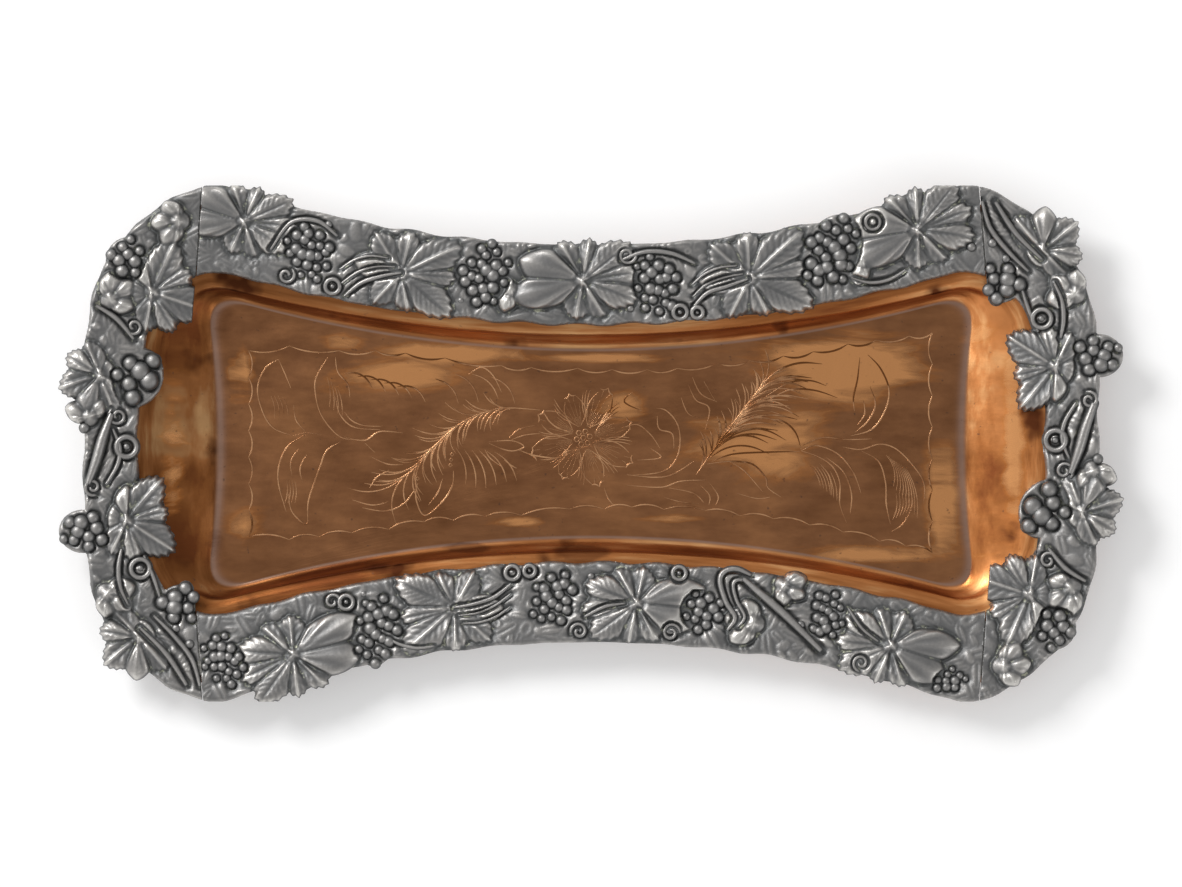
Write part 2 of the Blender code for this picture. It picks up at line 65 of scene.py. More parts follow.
# %% [markdown]
# ## Units, colours and nodes
# Sizes are easiest to think about in millimetres, but Blender's scene is in metres, so mm() turns one
# into the other. Colours are written as the hex codes that a picture editor shows. A shader wants them
# without the screen's gamma, which linear() takes out. Node trees are long to write, so one small
# function adds a node, sets what it is given, and links whatever it is given that comes from another
# node.

# %% Helpers for units, colours and nodes
def mm(size):
    return size / 1000.0


def linear(code):
    """A colour written like #b87333 as the linear values that a shader takes."""
    parts = [int(code[i : i + 2], 16) / 255 for i in (1, 3, 5)]
    return (*[p / 12.92 if p <= 0.04045 else ((p + 0.055) / 1.055) ** 2.4 for p in parts], 1.0)


def add(tree, kind, inputs=None, **settings):
    """Adds a node. Each input takes a value, or the output socket of another node to link from."""
    node = tree.nodes.new(kind)
    for name, value in settings.items():
        setattr(node, name, value)
    for name, value in (inputs or {}).items():
        if isinstance(value, bpy.types.NodeSocket):
            tree.links.new(value, node.inputs[name])
        else:
            node.inputs[name].default_value = value
    return node


def combine(tree, operation, first, second):
    """Two numbers put together by an operation such as ADD."""
    return add(tree, "ShaderNodeMath", {0: first, 1: second}, operation=operation).outputs[0]


def axis_of(tree, vector, axis):
    return add(tree, "ShaderNodeSeparateXYZ", {0: vector}).outputs[axis]


def rescaled(tree, value, limits, results):
    """A number that goes from one result to the other as the value goes from one limit to the other."""
    inputs = {0: value, 1: limits[0], 2: limits[1], 3: results[0], 4: results[1]}
    return add(tree, "ShaderNodeMapRange", inputs).outputs[0]


def mix(tree, factor, first, second, blend="MIX"):
    """One colour or number laid over another by a factor."""
    inputs = {0: factor, 6: first, 7: second}
    return add(tree, "ShaderNodeMix", inputs, data_type="RGBA", blend_type=blend).outputs[2]


def ramp(tree, value, *stops):
    """Colours or greys along a scale, as (position, colour or grey)."""
    node = add(tree, "ShaderNodeValToRGB", {0: value})
    points = node.color_ramp.elements
    while len(points) < len(stops):
        points.new(0.5)
    for point, (place, colour) in zip(points, stops):
        point.position = place
        point.color = linear(colour) if isinstance(colour, str) else (colour, colour, colour, 1.0)
    return node.outputs[0]


# %% [markdown]
# ## The table, the camera and the light
# The tray lies on a white table and is seen from straight above through a long lens, which keeps its
# outline free of perspective. A lens of 160 mm stands far enough away for that. Metal shows what is round
# it, so the light matters more than usual: a bright sky near the horizon gives the slopes of the relief
# their highlights, and a darker one overhead keeps flat metal from turning white. It is brighter on the
# left, as a room with a window there is. One large lamp at the upper left throws the soft shadow towards
# the lower right, and a weak one opposite keeps that shadow light.

# %% Camera
VIEW_WIDTH = mm(354.6)  # what the view takes in, across, at the height of the rim
CAMERA_HEIGHT = 1.6
RIM_HEIGHT = 0.6 * CAD_BOX[1].z  # about where the borders lie
SENSOR = 36.0

camera_data = bpy.data.cameras.new("camera")
camera_data.sensor_width = SENSOR
camera_data.lens = SENSOR * (CAMERA_HEIGHT - RIM_HEIGHT) / VIEW_WIDTH
camera_data.clip_end = 100
camera = bpy.data.objects.new("camera", camera_data)
camera.location = (0, 0, CAMERA_HEIGHT)
bpy.context.scene.collection.objects.link(camera)
bpy.context.scene.camera = camera
bpy.context.scene.view_settings.view_transform = "Standard"
print("lens", round(camera_data.lens, 1), "mm")

# %% Table
TABLE_SIZE = 6.0
TABLE_DROP = 0.05  # millimetres between the tray and the table
TABLE_GLOW = 0.22  # keeps the table white to the eye without lighting the tray from below

bpy.ops.mesh.primitive_plane_add(size=TABLE_SIZE, location=(0, 0, mm(-TABLE_DROP)))
table = bpy.context.object
table.name = "table"
white = bpy.data.materials.new("white_table")
white.use_nodes = True
tree = white.node_tree
tree.nodes.clear()
seen = add(tree, "ShaderNodeLightPath").outputs
shown = combine(tree, "MAXIMUM", seen["Is Camera Ray"], seen["Is Glossy Ray"])
shown = combine(tree, "MAXIMUM", shown, seen["Is Transmission Ray"])
lift = combine(tree, "MULTIPLY", shown, TABLE_GLOW)
paper = add(tree, "ShaderNodeBsdfDiffuse", {"Color": linear("#e6e6e6")})
glow = add(tree, "ShaderNodeEmission", {"Color": (1, 1, 1, 1), "Strength": lift})
both = add(tree, "ShaderNodeAddShader", {0: paper.outputs[0], 1: glow.outputs[0]})
add(tree, "ShaderNodeOutputMaterial", {"Surface": both.outputs[0]})
table.data.materials.append(white)

# %% Light
world = bpy.data.worlds.new("studio")
bpy.context.scene.world = world
world.use_nodes = True
tree = world.node_tree
tree.nodes.clear()
direction = add(tree, "ShaderNodeTexCoord").outputs["Generated"]
sky = ramp(tree, axis_of(tree, direction, "Z"), (0.0, 0.95), (0.35, 0.85), (0.78, 0.58), (1.0, 0.48))
side = rescaled(tree, axis_of(tree, direction, "X"), (-0.8, 0.8), (1.3, 0.6))
sky = mix(tree, 1.0, sky, side, "MULTIPLY")
ray = add(tree, "ShaderNodeLightPath").outputs
seen = combine(tree, "MAXIMUM", ray["Is Camera Ray"], ray["Is Transmission Ray"])
room = add(tree, "ShaderNodeBackground", {"Color": sky, "Strength": 1.0})
backdrop = add(tree, "ShaderNodeBackground", {"Color": (1, 1, 1, 1), "Strength": 1.0})
shown = add(tree, "ShaderNodeMixShader", {0: seen, 1: room.outputs[0], 2: backdrop.outputs[0]})
add(tree, "ShaderNodeOutputWorld", {"Surface": shown.outputs[0]})


def lamp(name, place, size, watts):
    """A soft box that faces the tray."""
    data = bpy.data.lights.new(name, "AREA")
    data.shape = "RECTANGLE"
    data.size, data.size_y = size
    data.energy = watts
    made = bpy.data.objects.new(name, data)
    made.location = place
    made.rotation_euler = (-Vector(place)).to_track_quat("-Z", "Y").to_euler()
    bpy.context.scene.collection.objects.link(made)


lamp("key", (-0.8, 0.72, 0.9), (0.55, 0.4), 13.0)
lamp("fill", (0.9, -0.5, 0.8), (0.8, 0.8), 2.5)


# %% [markdown]
# ## The outlines
# The tray's outline is a rectangle whose long sides curve in and whose ends swell out. Every edge of the
# tray, from the crease of the well to the outside of the borders, is that outline at another size, so one
# formula with a handful of sizes gives them all. An outline keeps the same number of points along each
# stretch, which lets neighbouring ones be joined point by point.

# %% Outlines, in millimetres
LENGTH, END_SWELL = 304.0, 37.0
WIDTH, SIDE_CURVE = 158.0, 19.5
SIDE_BORDER, END_BORDER = 24.0, 16.0  # how wide the borders are
SHEET = 0.9
WALL_RISE, RIM_RISE = 7.0, 2.5
SIDE_WALL, END_WALL = 6.5, 21.0  # how far the wall goes sideways as it rises
OVERHANG, RIM_SHOWN = 4.5, 1.5  # how far a border reaches past the rim, and how much rim shows inside it
SEAT_GAP = 1.2  # solder and gaps between the rim and the back of a border
CASTING = 1.8
SEAM = 0.3  # between two borders, at a corner

Outline = namedtuple("Outline", "end_x corner_x side_y corner_y round_off end_power z")


def inset(end, corner_x, side, corner_y, round_off, end_power, z=0.0):
    """The outline this far inside the borders' own outer edge."""
    outer = (LENGTH / 2, LENGTH / 2 - END_SWELL, WIDTH / 2 - SIDE_CURVE, WIDTH / 2)
    inner = [size - taken for size, taken in zip(outer, (end, corner_x, side, corner_y))]
    return Outline(*inner, round_off, end_power, z)


def between(outer, inner, end_share, side_share, z):
    """The outline part way from one to another, by one share at the ends and another at the sides."""
    shares = (end_share, end_share, side_share, side_share, 0, 0)
    return Outline(*[a + (b - a) * share for a, b, share in zip(outer, inner, shares)], z)


FLOOR_TOP = SHEET
RIM_INNER_Z = FLOOR_TOP + WALL_RISE
RIM_OUTER_Z = RIM_INNER_Z + RIM_RISE
END_INNER = END_BORDER + 2 * RIM_SHOWN
SIDE_INNER = SIDE_BORDER + RIM_SHOWN / 2
CORNER_INNER = SIDE_BORDER + 2 * RIM_SHOWN

# How far each outline lies inside the borders' own: at the middle of the ends, at the corners lengthways, at
# the middle of the sides and at the corners sideways. Then how far its corners are rounded, and how suddenly
# its ends swell.
BAND_INNER = inset(END_BORDER, -4, SIDE_BORDER, SIDE_BORDER + 1, 12, 3.5)
BAND_OUTER = inset(0, 0, 0, 0, 6, 4.5)
RIM_OUTER = inset(OVERHANG, OVERHANG - 1.5, OVERHANG, OVERHANG, 5, 4.5, RIM_OUTER_Z)
RIM_INNER = inset(END_INNER, -6, SIDE_INNER, CORNER_INNER, 13, 3.0, RIM_INNER_Z)
FLOOR_EDGE = inset(
    END_INNER + END_WALL, -1, SIDE_INNER + SIDE_WALL, CORNER_INNER + SIDE_WALL, 13, 2.0, FLOOR_TOP
)
WALL = between(RIM_INNER, FLOOR_EDGE, 0.52, 0.42, FLOOR_TOP + 0.5 * WALL_RISE)
COVE = between(RIM_INNER, FLOOR_EDGE, 0.86, 0.77, FLOOR_TOP + 0.09 * WALL_RISE)


def side_point(line, x):
    return np.array((x, line.side_y + (line.corner_y - line.side_y) * (x / line.corner_x) ** 2))


def end_point(line, y):
    swell = (line.corner_x - line.end_x) * (abs(y) / line.corner_y) ** line.end_power
    return np.array((line.end_x + swell, y))


def quarter(line, steps):
    """Points from the middle of the back to the middle of the right end, by steps for each stretch."""
    side_steps, corner_steps, end_steps = steps
    start = side_point(line, line.corner_x - line.round_off)
    stop = end_point(line, line.corner_y - line.round_off)
    corner = np.array((line.corner_x, line.corner_y))
    points = [side_point(line, start[0] * i / side_steps) for i in range(side_steps)]
    for i in range(corner_steps + 1):
        t = i / corner_steps
        points.append((1 - t) ** 2 * start + 2 * t * (1 - t) * corner + t * t * stop)
    return points + [end_point(line, stop[1] * (1 - i / end_steps)) for i in range(1, end_steps + 1)]


def loop(line, steps):
    """The whole outline, clockwise from the middle of the back."""
    first = np.array(quarter(line, steps))
    right = np.concatenate((first, (first * (1, -1))[:-1][::-1]))
    return np.concatenate((right, (right * (-1, 1))[1:-1][::-1]))


COARSE = (7, 4, 5)  # steps along side, corner and end that place the motifs, as in the frame
FINE = (28, 12, 20)  # steps that shape what is seen
QUARTER = sum(COARSE)
ROUND = 4 * QUARTER
CORNER = COARSE[0] + COARSE[1] // 2
SPANS = {
    "back": (ROUND - CORNER, ROUND + CORNER),
    "right": (CORNER, 2 * QUARTER - CORNER),
    "front": (2 * QUARTER - CORNER, 2 * QUARTER + CORNER),
    "left": (2 * QUARTER + CORNER, ROUND - CORNER),
}
print("points round the tray:", ROUND, "to place motifs and", len(loop(RIM_OUTER, FINE)), "to shape it")


# %% [markdown]
# ## The copper
# Copper sheet this thin is pressed over a form. Its floor is flat, a sharp crease runs round it where the
# form's edge was, and a shallow cove leads up the wall to the rim. Lofting the outlines makes exactly
# that: a smooth curve through the crease, the cove, the wall and both edges of the rim, at every point
# round the tray, with the sheet's thickness given by Solidify. The loft also knows how far round and how
# far across each point is, which the finish needs later, so it is written to the mesh as attributes.

# %% The pressed sheet
SEGMENT_STEPS = 5  # rings from one outline to the next
FLOOR_RINGS = 22
BEFORE_CREASE = 0.965  # the last ring of the flat floor, as a share of the crease's

# Bright patches painted on the floor as reflections, where it is also smoother: middle, half length, half
# width and strength.
REFLECTION_PATCHES = [
    (-44, 27.0, 17, 2.6, 1.0),
    (-58, 20.5, 17, 4.5, 1.0),
    (2, 25.8, 20, 1.3, 1.0),
    (-106, 22, 3.4, 8.5, 0.9),
    (78, 23.5, 20, 9.5, 1.15),
    (44, 0, 19, 8.5, 0.72),
    (60, 5, 15, 7, 0.72),
    (10, 11.5, 7, 4.5, 0.8),
    (106, -18, 5, 14, 1.0),
    (88, -33, 24, 3, 0.75),
    (-21, -23.6, 6.5, 1.6, 1.0),
    (24, -22.6, 10, 1.4, 0.6),
    (58, -5.5, 8, 6, 0.72),
    (-75, 30.5, 7, 3, 0.75),
    (-104, -26, 5, 8, 0.5),
    (127, 2, 3.2, 24, 0.95),
    (118, 33, 6, 4, 0.7),
    (-126, -6, 4, 18, 0.62),
]
# Where something has been spilled on the wall and left a dark stain, in the same way.
STAINED = [
    (-3, -32.8, 8, 2.6, 1.0),
    (-38, -31.5, 7, 1.8, 0.9),
    (-110, 36, 5, 9, 0.55),
    (-113, -30, 4, 9, 0.5),
]
PATCH_FADE = 0.7  # how fast a patch fades past its middle
CREASE_PLACE, CREASE_WIDTH = 0.95, 0.35  # in rings from the floor's last one


def curved(a, b, c, d, t):
    """The point this share of the way from b to c on a smooth curve through all four."""
    curve = 2 * b + (c - a) * t + (2 * a - 5 * b + 4 * c - d) * t**2 + (3 * b - a - 3 * c + d) * t**3
    return curve / 2


def lofted(knots, steps):
    """Rings on a smooth curve through the knots' rings, and each ring's place along it."""
    points = [2 * knots[0] - knots[1], *knots, 2 * knots[-1] - knots[-2]]
    rings, places = [], []
    for k in range(1, len(points) - 2):
        for step in range(steps):
            rings.append(curved(*points[k - 1 : k + 3], step / steps))
            places.append(k - 1 + step / steps)
    return rings + [knots[-1]], places + [len(knots) - 1]


def ring_at(line, scale=1.0):
    flat = loop(line, FINE) * scale
    return np.column_stack((flat, np.full(len(flat), line.z)))


def patches_at(points, patches):
    """How strongly a list of patches covers each point."""
    found = np.zeros(len(points))
    for x, y, half_length, half_width, strength in patches:
        away = ((points[:, 0] - x) / half_length) ** 2 + ((points[:, 1] - y) / half_width) ** 2
        found = np.maximum(found, strength * np.exp(-PATCH_FADE * away))
    return found


def ridge(away, width):
    """1 on a line, falling to 0 within about twice this width of it."""
    return np.exp(-((away / width) ** 2))


def set_attribute(mesh, name, values, kind="FLOAT"):
    """Writes a value for each point of a mesh."""
    data = mesh.attributes.new(name, kind, "POINT").data
    data.foreach_set("value" if kind == "FLOAT" else "vector", np.asarray(values, np.float32).ravel())


def object_of(mesh, name):
    made = bpy.data.objects.new(name, mesh)
    bpy.context.scene.collection.objects.link(made)
    return made


def finished(thing, name, material):
    """The object as its modifiers and nodes leave it, as a plain mesh at the origin."""
    bpy.context.view_layer.update()
    graph = bpy.context.evaluated_depsgraph_get()
    mesh = bpy.data.meshes.new_from_object(thing.evaluated_get(graph))
    mesh.name = name
    bpy.data.objects.remove(thing)
    mesh.materials.clear()
    mesh.materials.append(material)
    made = object_of(mesh, name)
    mesh.calc_loop_triangles()
    print(name, len(mesh.loop_triangles), "triangles")
    return made


knots = [ring_at(FLOOR_EDGE, BEFORE_CREASE)]
knots += [ring_at(line) for line in (FLOOR_EDGE, COVE, WALL, RIM_INNER, RIM_OUTER)]
rings, places = lofted(knots, SEGMENT_STEPS)
inner_rings = [knots[0] * (share, share, 1) for share in np.linspace(0, 1, FLOOR_RINGS + 1)[1:-1]]
rings = inner_rings + rings
places = [0.0] * len(inner_rings) + places
sheet_points = np.concatenate(rings)
sheet_points[:, 2] = np.maximum(sheet_points[:, 2], FLOOR_TOP)
count = len(rings[0])
faces = []
for row in range(len(rings) - 1):
    inner, outer = row * count, (row + 1) * count
    for i in range(count):
        j = (i + 1) % count
        faces.append((outer + j, outer + i, inner + i, inner + j))
faces += [((i + 1) % count, i, len(sheet_points)) for i in range(count)]
all_points = np.vstack((sheet_points, (0, 0, FLOOR_TOP)))
copper_mesh = bpy.data.meshes.new("copper_sheet")
copper_mesh.from_pydata(mm(all_points).tolist(), [], faces)

place = np.repeat(places, count)
turn = np.tile(np.arange(count) / count * 2 * math.pi, len(rings))
across = np.repeat([np.linalg.norm(ring[0, :2]) for ring in rings], count)
flow = np.column_stack((np.cos(turn) * LENGTH / 2, np.sin(turn) * LENGTH / 2, across))
set_attribute(copper_mesh, "wall", np.append(np.clip(place - 1, 0, 1), 0))
set_attribute(copper_mesh, "crease", np.append(ridge(place - CREASE_PLACE, CREASE_WIDTH), 0))
set_attribute(copper_mesh, "painted_reflection", patches_at(all_points, REFLECTION_PATCHES))
set_attribute(copper_mesh, "stained", patches_at(all_points, STAINED))
set_attribute(copper_mesh, "flow", mm(np.vstack((flow, (0, 0, 0)))), "FLOAT_VECTOR")
copper_mesh.shade_smooth()
copper_sheet = object_of(copper_mesh, "copper_sheet_surface")
skin = copper_sheet.modifiers.new("thickness", "SOLIDIFY")
skin.thickness = mm(SHEET)
skin.offset = -1.0
skin.use_even_offset = True


# %% [markdown]
# ## The copper's finish
# Copper left in air turns from pink to brown. The floor of this tray has a satin brown tarnish, with long
# bright patches painted on it as reflections, smoother than the rest. The wall and rim have been handled
# and polished far more, so they are orange and streaked along the way the cloth went; those streaks and
# a brightening to the right are also reflection painted into the colour. Where the crease stands proud
# it has worn to a greyish line, and a few dark stains have run down the wall. Underneath, the floor is
# plain tarnish and the wall is streaked as above. One material does all of it: noise on the object's own
# coordinates for the tarnish, and attributes on the mesh for where the floor, the crease, the wall and the
# painted reflections are. The streaks follow the flow attribute round the tray.

# %% Tarnished and polished copper
def attribute(tree, name):
    return add(tree, "ShaderNodeAttribute", attribute_name=name).outputs


def noise(tree, coordinates, size, detail=4.0, roughness=0.55, distortion=0.0):
    """Noise whose blotches are about this size, in millimetres."""
    inputs = {0: coordinates, 2: 1000.0 / size, 3: detail, 4: roughness, 8: distortion}
    return add(tree, "ShaderNodeTexNoise", inputs).outputs[0]


def stretched(tree, coordinates, scale):
    """Coordinates that make noise longer along an axis whose scale is less than 1."""
    return add(tree, "ShaderNodeMapping", {"Vector": coordinates, "Scale": scale}).outputs[0]


def new_material(name, metallic, roughness):
    """A material with a Principled shader. Returns the material, its tree and the shader."""
    made = bpy.data.materials.new(name)
    made.use_nodes = True
    shader = made.node_tree.nodes["Principled BSDF"]
    shader.inputs["Metallic"].default_value = metallic
    shader.inputs["Roughness"].default_value = roughness
    return made, made.node_tree, shader


def link(tree, shader, **inputs):
    """Links to the shader's inputs, written with _ for a space."""
    for name, value in inputs.items():
        tree.links.new(value, shader.inputs[name.replace("_", " ")])


def bump(tree, height, distance, strength=1.0, normal=None):
    """A bump whose full height is this many millimetres."""
    inputs = {"Height": height, "Distance": mm(distance), "Strength": strength}
    if normal:
        inputs["Normal"] = normal
    return add(tree, "ShaderNodeBump", inputs).outputs[0]


def reflection_patch_edge(tree, place):
    """How far a point is inside a patch of painted reflection, with ragged edges. The patches start near
    0.5.
    """
    ragged = noise(tree, stretched(tree, place, (0.28, 1.0, 1.0)), 9, 6, 0.62, 0.6)
    ragged = combine(tree, "MULTIPLY", combine(tree, "SUBTRACT", ragged, 0.5), 1.5)
    return combine(tree, "ADD", attribute(tree, "painted_reflection")["Fac"], ragged)


# Pressed sheet copper with a patina: brown where it is tarnished, orange where cloths have polished it, with
# reflections painted into its colour as bright patches and streaks.
copper, tree, shader = new_material("tarnished_sheet_copper", 1.0, 0.3)
place_on = add(tree, "ShaderNodeTexCoord").outputs["Object"]
flow_on = attribute(tree, "flow")["Vector"]
is_wall = attribute(tree, "wall")["Fac"]
is_crease = attribute(tree, "crease")["Fac"]

clouds = noise(tree, place_on, 38, 5, 0.6)
grain = noise(tree, stretched(tree, place_on, (0.35, 1.0, 1.0)), 5, 5, 0.65)
tarnish = ramp(tree, clouds, (0.32, "#7a4f31"), (0.5, "#8f6040"), (0.68, "#a9744c"))
mottle = ramp(tree, grain, (0.3, "#82573a"), (0.7, "#ac7a52"))
floor_colour = mix(tree, 0.35, tarnish, mottle)

# Patches of painted reflection on the floor: bright copper colour inside them, and lower roughness.
edge = reflection_patch_edge(tree, place_on)
bright = ramp(tree, edge, (0.44, 0.0), (0.74, 1.0))

# Streaks round the wall: in its colour they are polishing marks and also painted reflection; the same
# streaks bump the surface.
streaks = noise(tree, stretched(tree, flow_on, (0.06, 0.06, 1.0)), 3.2, 4, 0.6)
wide = noise(tree, flow_on, 46, 3, 0.5)
streaked = combine(tree, "MULTIPLY", streaks, 0.62)
streaked = combine(tree, "ADD", streaked, combine(tree, "MULTIPLY", wide, 0.38))
wall_stops = ((0.36, "#7a4526"), (0.45, "#995f34"), (0.54, "#b57646"), (0.66, "#dba873"))
wall_colour = ramp(tree, streaked, *wall_stops)
stains = ramp(tree, noise(tree, place_on, 21, 3, 0.5), (0.30, 1.0), (0.38, 0.0))
wall_colour = mix(tree, stains, wall_colour, linear("#59301b"))
# Painted reflection: the wall's colour is made darker on the left and brighter on the right.
painted_side_light = rescaled(tree, axis_of(tree, place_on, "X"), (mm(-120), mm(120)), (0.66, 1.30))
wall_colour = mix(tree, 1.0, wall_colour, painted_side_light, "MULTIPLY")
colour = mix(tree, ramp(tree, is_wall, (0.02, 0.0), (0.5, 1.0)), floor_colour, wall_colour)
# Painted reflection: an orange fringe round each patch, then bright copper inside it.
colour = mix(tree, ramp(tree, edge, (0.30, 0.0), (0.48, 0.4), (0.52, 0.0)), colour, linear("#c27a3f"))
colour = mix(tree, bright, colour, linear("#eea86c"))
shift = combine(tree, "MULTIPLY", combine(tree, "SUBTRACT", grain, 0.5), 0.9)
worn_line = combine(tree, "MULTIPLY", is_crease, 0.62)
colour = mix(tree, worn_line, colour, linear("#b09284"))
spilled = combine(tree, "ADD", attribute(tree, "stained")["Fac"], shift)
spilled = ramp(tree, spilled, (0.38, 0.0), (0.6, 0.55))
colour = mix(tree, spilled, colour, linear("#54301f"))

specks = noise(tree, place_on, 1.6, 2, 0.5)
colour = mix(tree, ramp(tree, specks, (0.70, 0.0), (0.78, 0.55)), colour, linear("#50403a"))

satin = ramp(tree, grain, (0.3, 0.27), (0.7, 0.40))
roughness = mix(tree, bright, satin, (0.20, 0.20, 0.20, 1.0))
ripple = noise(tree, stretched(tree, place_on, (0.5, 1.0, 1.0)), 26, 2, 0.5)
wavy = bump(tree, ripple, 0.9, 0.6)
scratches = noise(tree, stretched(tree, place_on, (0.12, 1.0, 1.0)), 0.9, 3, 0.6)
scratched = bump(tree, scratches, 0.03, 0.6, wavy)
streaky = bump(tree, streaks, 0.25, 0.7, scratched)
link(tree, shader, Base_Color=colour, Roughness=roughness, Normal=streaky)

tray = finished(copper_sheet, "copper_tray", copper)
on_top = np.array([vertex.normal.z > 0 for vertex in tray.data.vertices])
for name in ("painted_reflection", "crease", "stained"):
    values = np.empty(len(on_top), np.float32)
    tray.data.attributes[name].data.foreach_get("value", values)
    tray.data.attributes[name].data.foreach_set("value", values * on_top)
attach(tray, "root")
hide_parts("tray_body")


# %% [markdown]
# ## The motifs of the borders
# The borders repeat a few patterns: two kinds of vine leaf seen whole, two cut off by the band's edge,
# small sprigs, oval bunches of grapes, and stems and tendrils that tie them together. A leaf is a fan of
# lobes round a heart, so each pattern is a list of lobes. Some are puffed up like cushions, some are
# ribbed along a vein, and some are feathered with many side veins. Where each motif lies is a share of
# the way along and across its border, the same as in the frame.

# %% Leaves, bunches and stems
# Directions and turns are in degrees, sizes in millimetres.
Lobe = namedtuple("Lobe", "direction length half_width kind")
Leaf = namedtuple("Leaf", "lobes along across turn size")
Bunch = namedtuple("Bunch", "along across length width turn count berry")
Stem = namedtuple("Stem", "along across radius points closed")


def lobes(*rows):
    return [Lobe(*row) for row in rows]


OPEN_LEAF = lobes(
    (172, 13.5, 3.6, "puffed"), (128, 14.5, 3.8, "ribbed"), (86, 13.5, 3.8, "ribbed"),
    (38, 19.5, 4.6, "ribbed"), (6, 15.5, 3.8, "feathered"), (-34, 19.0, 4.4, "feathered"),
    (-72, 12.0, 3.6, "ribbed"), (-122, 12.5, 3.6, "ribbed"),
)
FOLDED_LEAF = lobes(
    (160, 17.5, 4.8, "puffed"), (196, 19.5, 4.2, "puffed"), (118, 13.0, 3.8, "ribbed"),
    (82, 12.5, 3.4, "ribbed"), (42, 16.5, 4.2, "feathered"), (10, 15.5, 3.6, "feathered"),
    (-22, 15.5, 4.4, "feathered"), (-62, 12.0, 3.8, "ribbed"), (-100, 11.5, 3.8, "ribbed"),
)
INWARD_LEAF = lobes(
    (240, 16.5, 4.4, "ribbed"), (282, 12.5, 3.8, "feathered"), (318, 15.5, 4.2, "ribbed"),
    (194, 11.5, 3.6, "feathered"), (152, 10.5, 3.4, "ribbed"), (2, 9.5, 3.2, "puffed"),
)
OUTWARD_LEAF = lobes(
    (202, 11.5, 3.4, "ribbed"), (152, 11.5, 3.6, "puffed"), (106, 13.0, 3.8, "ribbed"),
    (62, 11.5, 3.6, "feathered"), (24, 10.0, 3.2, "ribbed"),
)
SPRIG = lobes((118, 6.5, 2.4, "puffed"), (180, 7.0, 2.8, "puffed"), (232, 7.5, 2.6, "puffed"))


def stem(along, across, radius, *points):
    """A stem through points given in millimetres from its place: forwards, then outwards."""
    return Stem(along, across, 0.8 * radius, points, False)


def curl(along, across, size, radius=0.7):
    """A tendril's closed loop."""
    turns = [2 * math.pi * i / 8 for i in range(8)]
    return Stem(along, across, radius, [(size * math.cos(t), size * math.sin(t)) for t in turns], True)


def tendril(along, across, size, turns, start, radius=0.55):
    """An open spiral that winds inwards."""
    steps = int(10 * abs(turns)) + 1
    points = []
    for i in range(steps + 1):
        share = i / steps
        angle = math.radians(start) + 2 * math.pi * turns * share
        reach = size * (1 - 0.72 * share)
        points.append((reach * math.cos(angle), reach * math.sin(angle)))
    return Stem(along, across, radius, points, False)


BACK_LEAVES = [
    Leaf(FOLDED_LEAF, 0.06, 0.65, 1, 0.86),
    Leaf(OPEN_LEAF, 0.26, 0.45, -1, 0.92),
    Leaf(FOLDED_LEAF, 0.49, 0.55, 1, 0.98),
    Leaf(OPEN_LEAF, 0.70, 0.45, -1, 0.98),
    Leaf(FOLDED_LEAF, 0.915, 0.62, -3, 0.98),
    Leaf(SPRIG, 0.40, 0.40, 24, 0.85),
    Leaf(SPRIG, 0.845, 0.42, 17, 0.9),
]
BACK_BUNCHES = [
    Bunch(0.142, 0.50, 19.2, 15.4, -62, 22, 1.64),
    Bunch(0.367, 0.57, 21.3, 16.5, 76, 22, 1.76),
    Bunch(0.583, 0.47, 21.3, 14.9, -82, 21, 1.72),
    Bunch(0.805, 0.60, 24.4, 17.6, 57, 23, 1.92),
]
BACK_STEMS = [
    stem(0.223, 0.30, 0.9, (-7.6, -5.9), (-3.4, -1.1), (2.1, 2.0), (7.8, 4.1)),
    stem(0.218, 0.42, 0.6, (-7.2, -5.2), (-3.0, -1.0), (2.0, 1.6), (7.6, 2.6)),
    stem(0.212, 0.56, 0.6, (-6.2, -4.6), (-2.4, -1.0), (2.0, 1.0), (7.4, 1.4)),
    stem(0.662, 0.33, 0.9, (-7.9, -3.5), (-3.5, 0), (2.7, 1.4), (8.9, 2.8)),
    stem(0.658, 0.46, 0.6, (-7.4, -3.8), (-3.0, -0.6), (2.4, 0.9), (8.2, 1.4)),
    stem(0.652, 0.60, 0.6, (-6.4, -3.6), (-2.2, -0.8), (2.6, 0.6), (7.6, 0.6)),
    stem(0.138, 0.72, 0.9, (-8.7, -7.4), (-4.6, 1.8), (3.0, 4.0), (9.9, 1.0)),
    stem(0.583, 0.82, 0.9, (-10.8, -0.2), (-3.6, 1.8), (4.3, 0.8), (11.1, -2.6)),
    stem(0.870, 0.14, 0.7, (-8.0, 2.6), (-3.0, 0.0), (2.6, -0.4), (8.0, 1.2)),
    curl(0.170, 0.15, 2.2),
    curl(0.613, 0.12, 2.1),
    curl(0.635, 0.10, 1.7),
    curl(0.855, 0.85, 2.2),
    tendril(0.545, 0.86, 2.8, -1.3, 20),
    tendril(0.110, 0.16, 2.6, -1.2, 60),
]
FRONT_LEAVES = [
    Leaf(FOLDED_LEAF, 0.12, 0.57, -1, 0.92),
    Leaf(SPRIG, 0.255, 0.10, -22, 0.9),
    Leaf(SPRIG, 0.295, 0.62, 178, 1.1),
    Leaf(FOLDED_LEAF, 0.443, 0.50, -1, 0.92),
    Leaf(OPEN_LEAF, 0.672, 0.47, 0, 0.92),
    Leaf(FOLDED_LEAF, 0.877, 0.68, 3, 0.98),
]
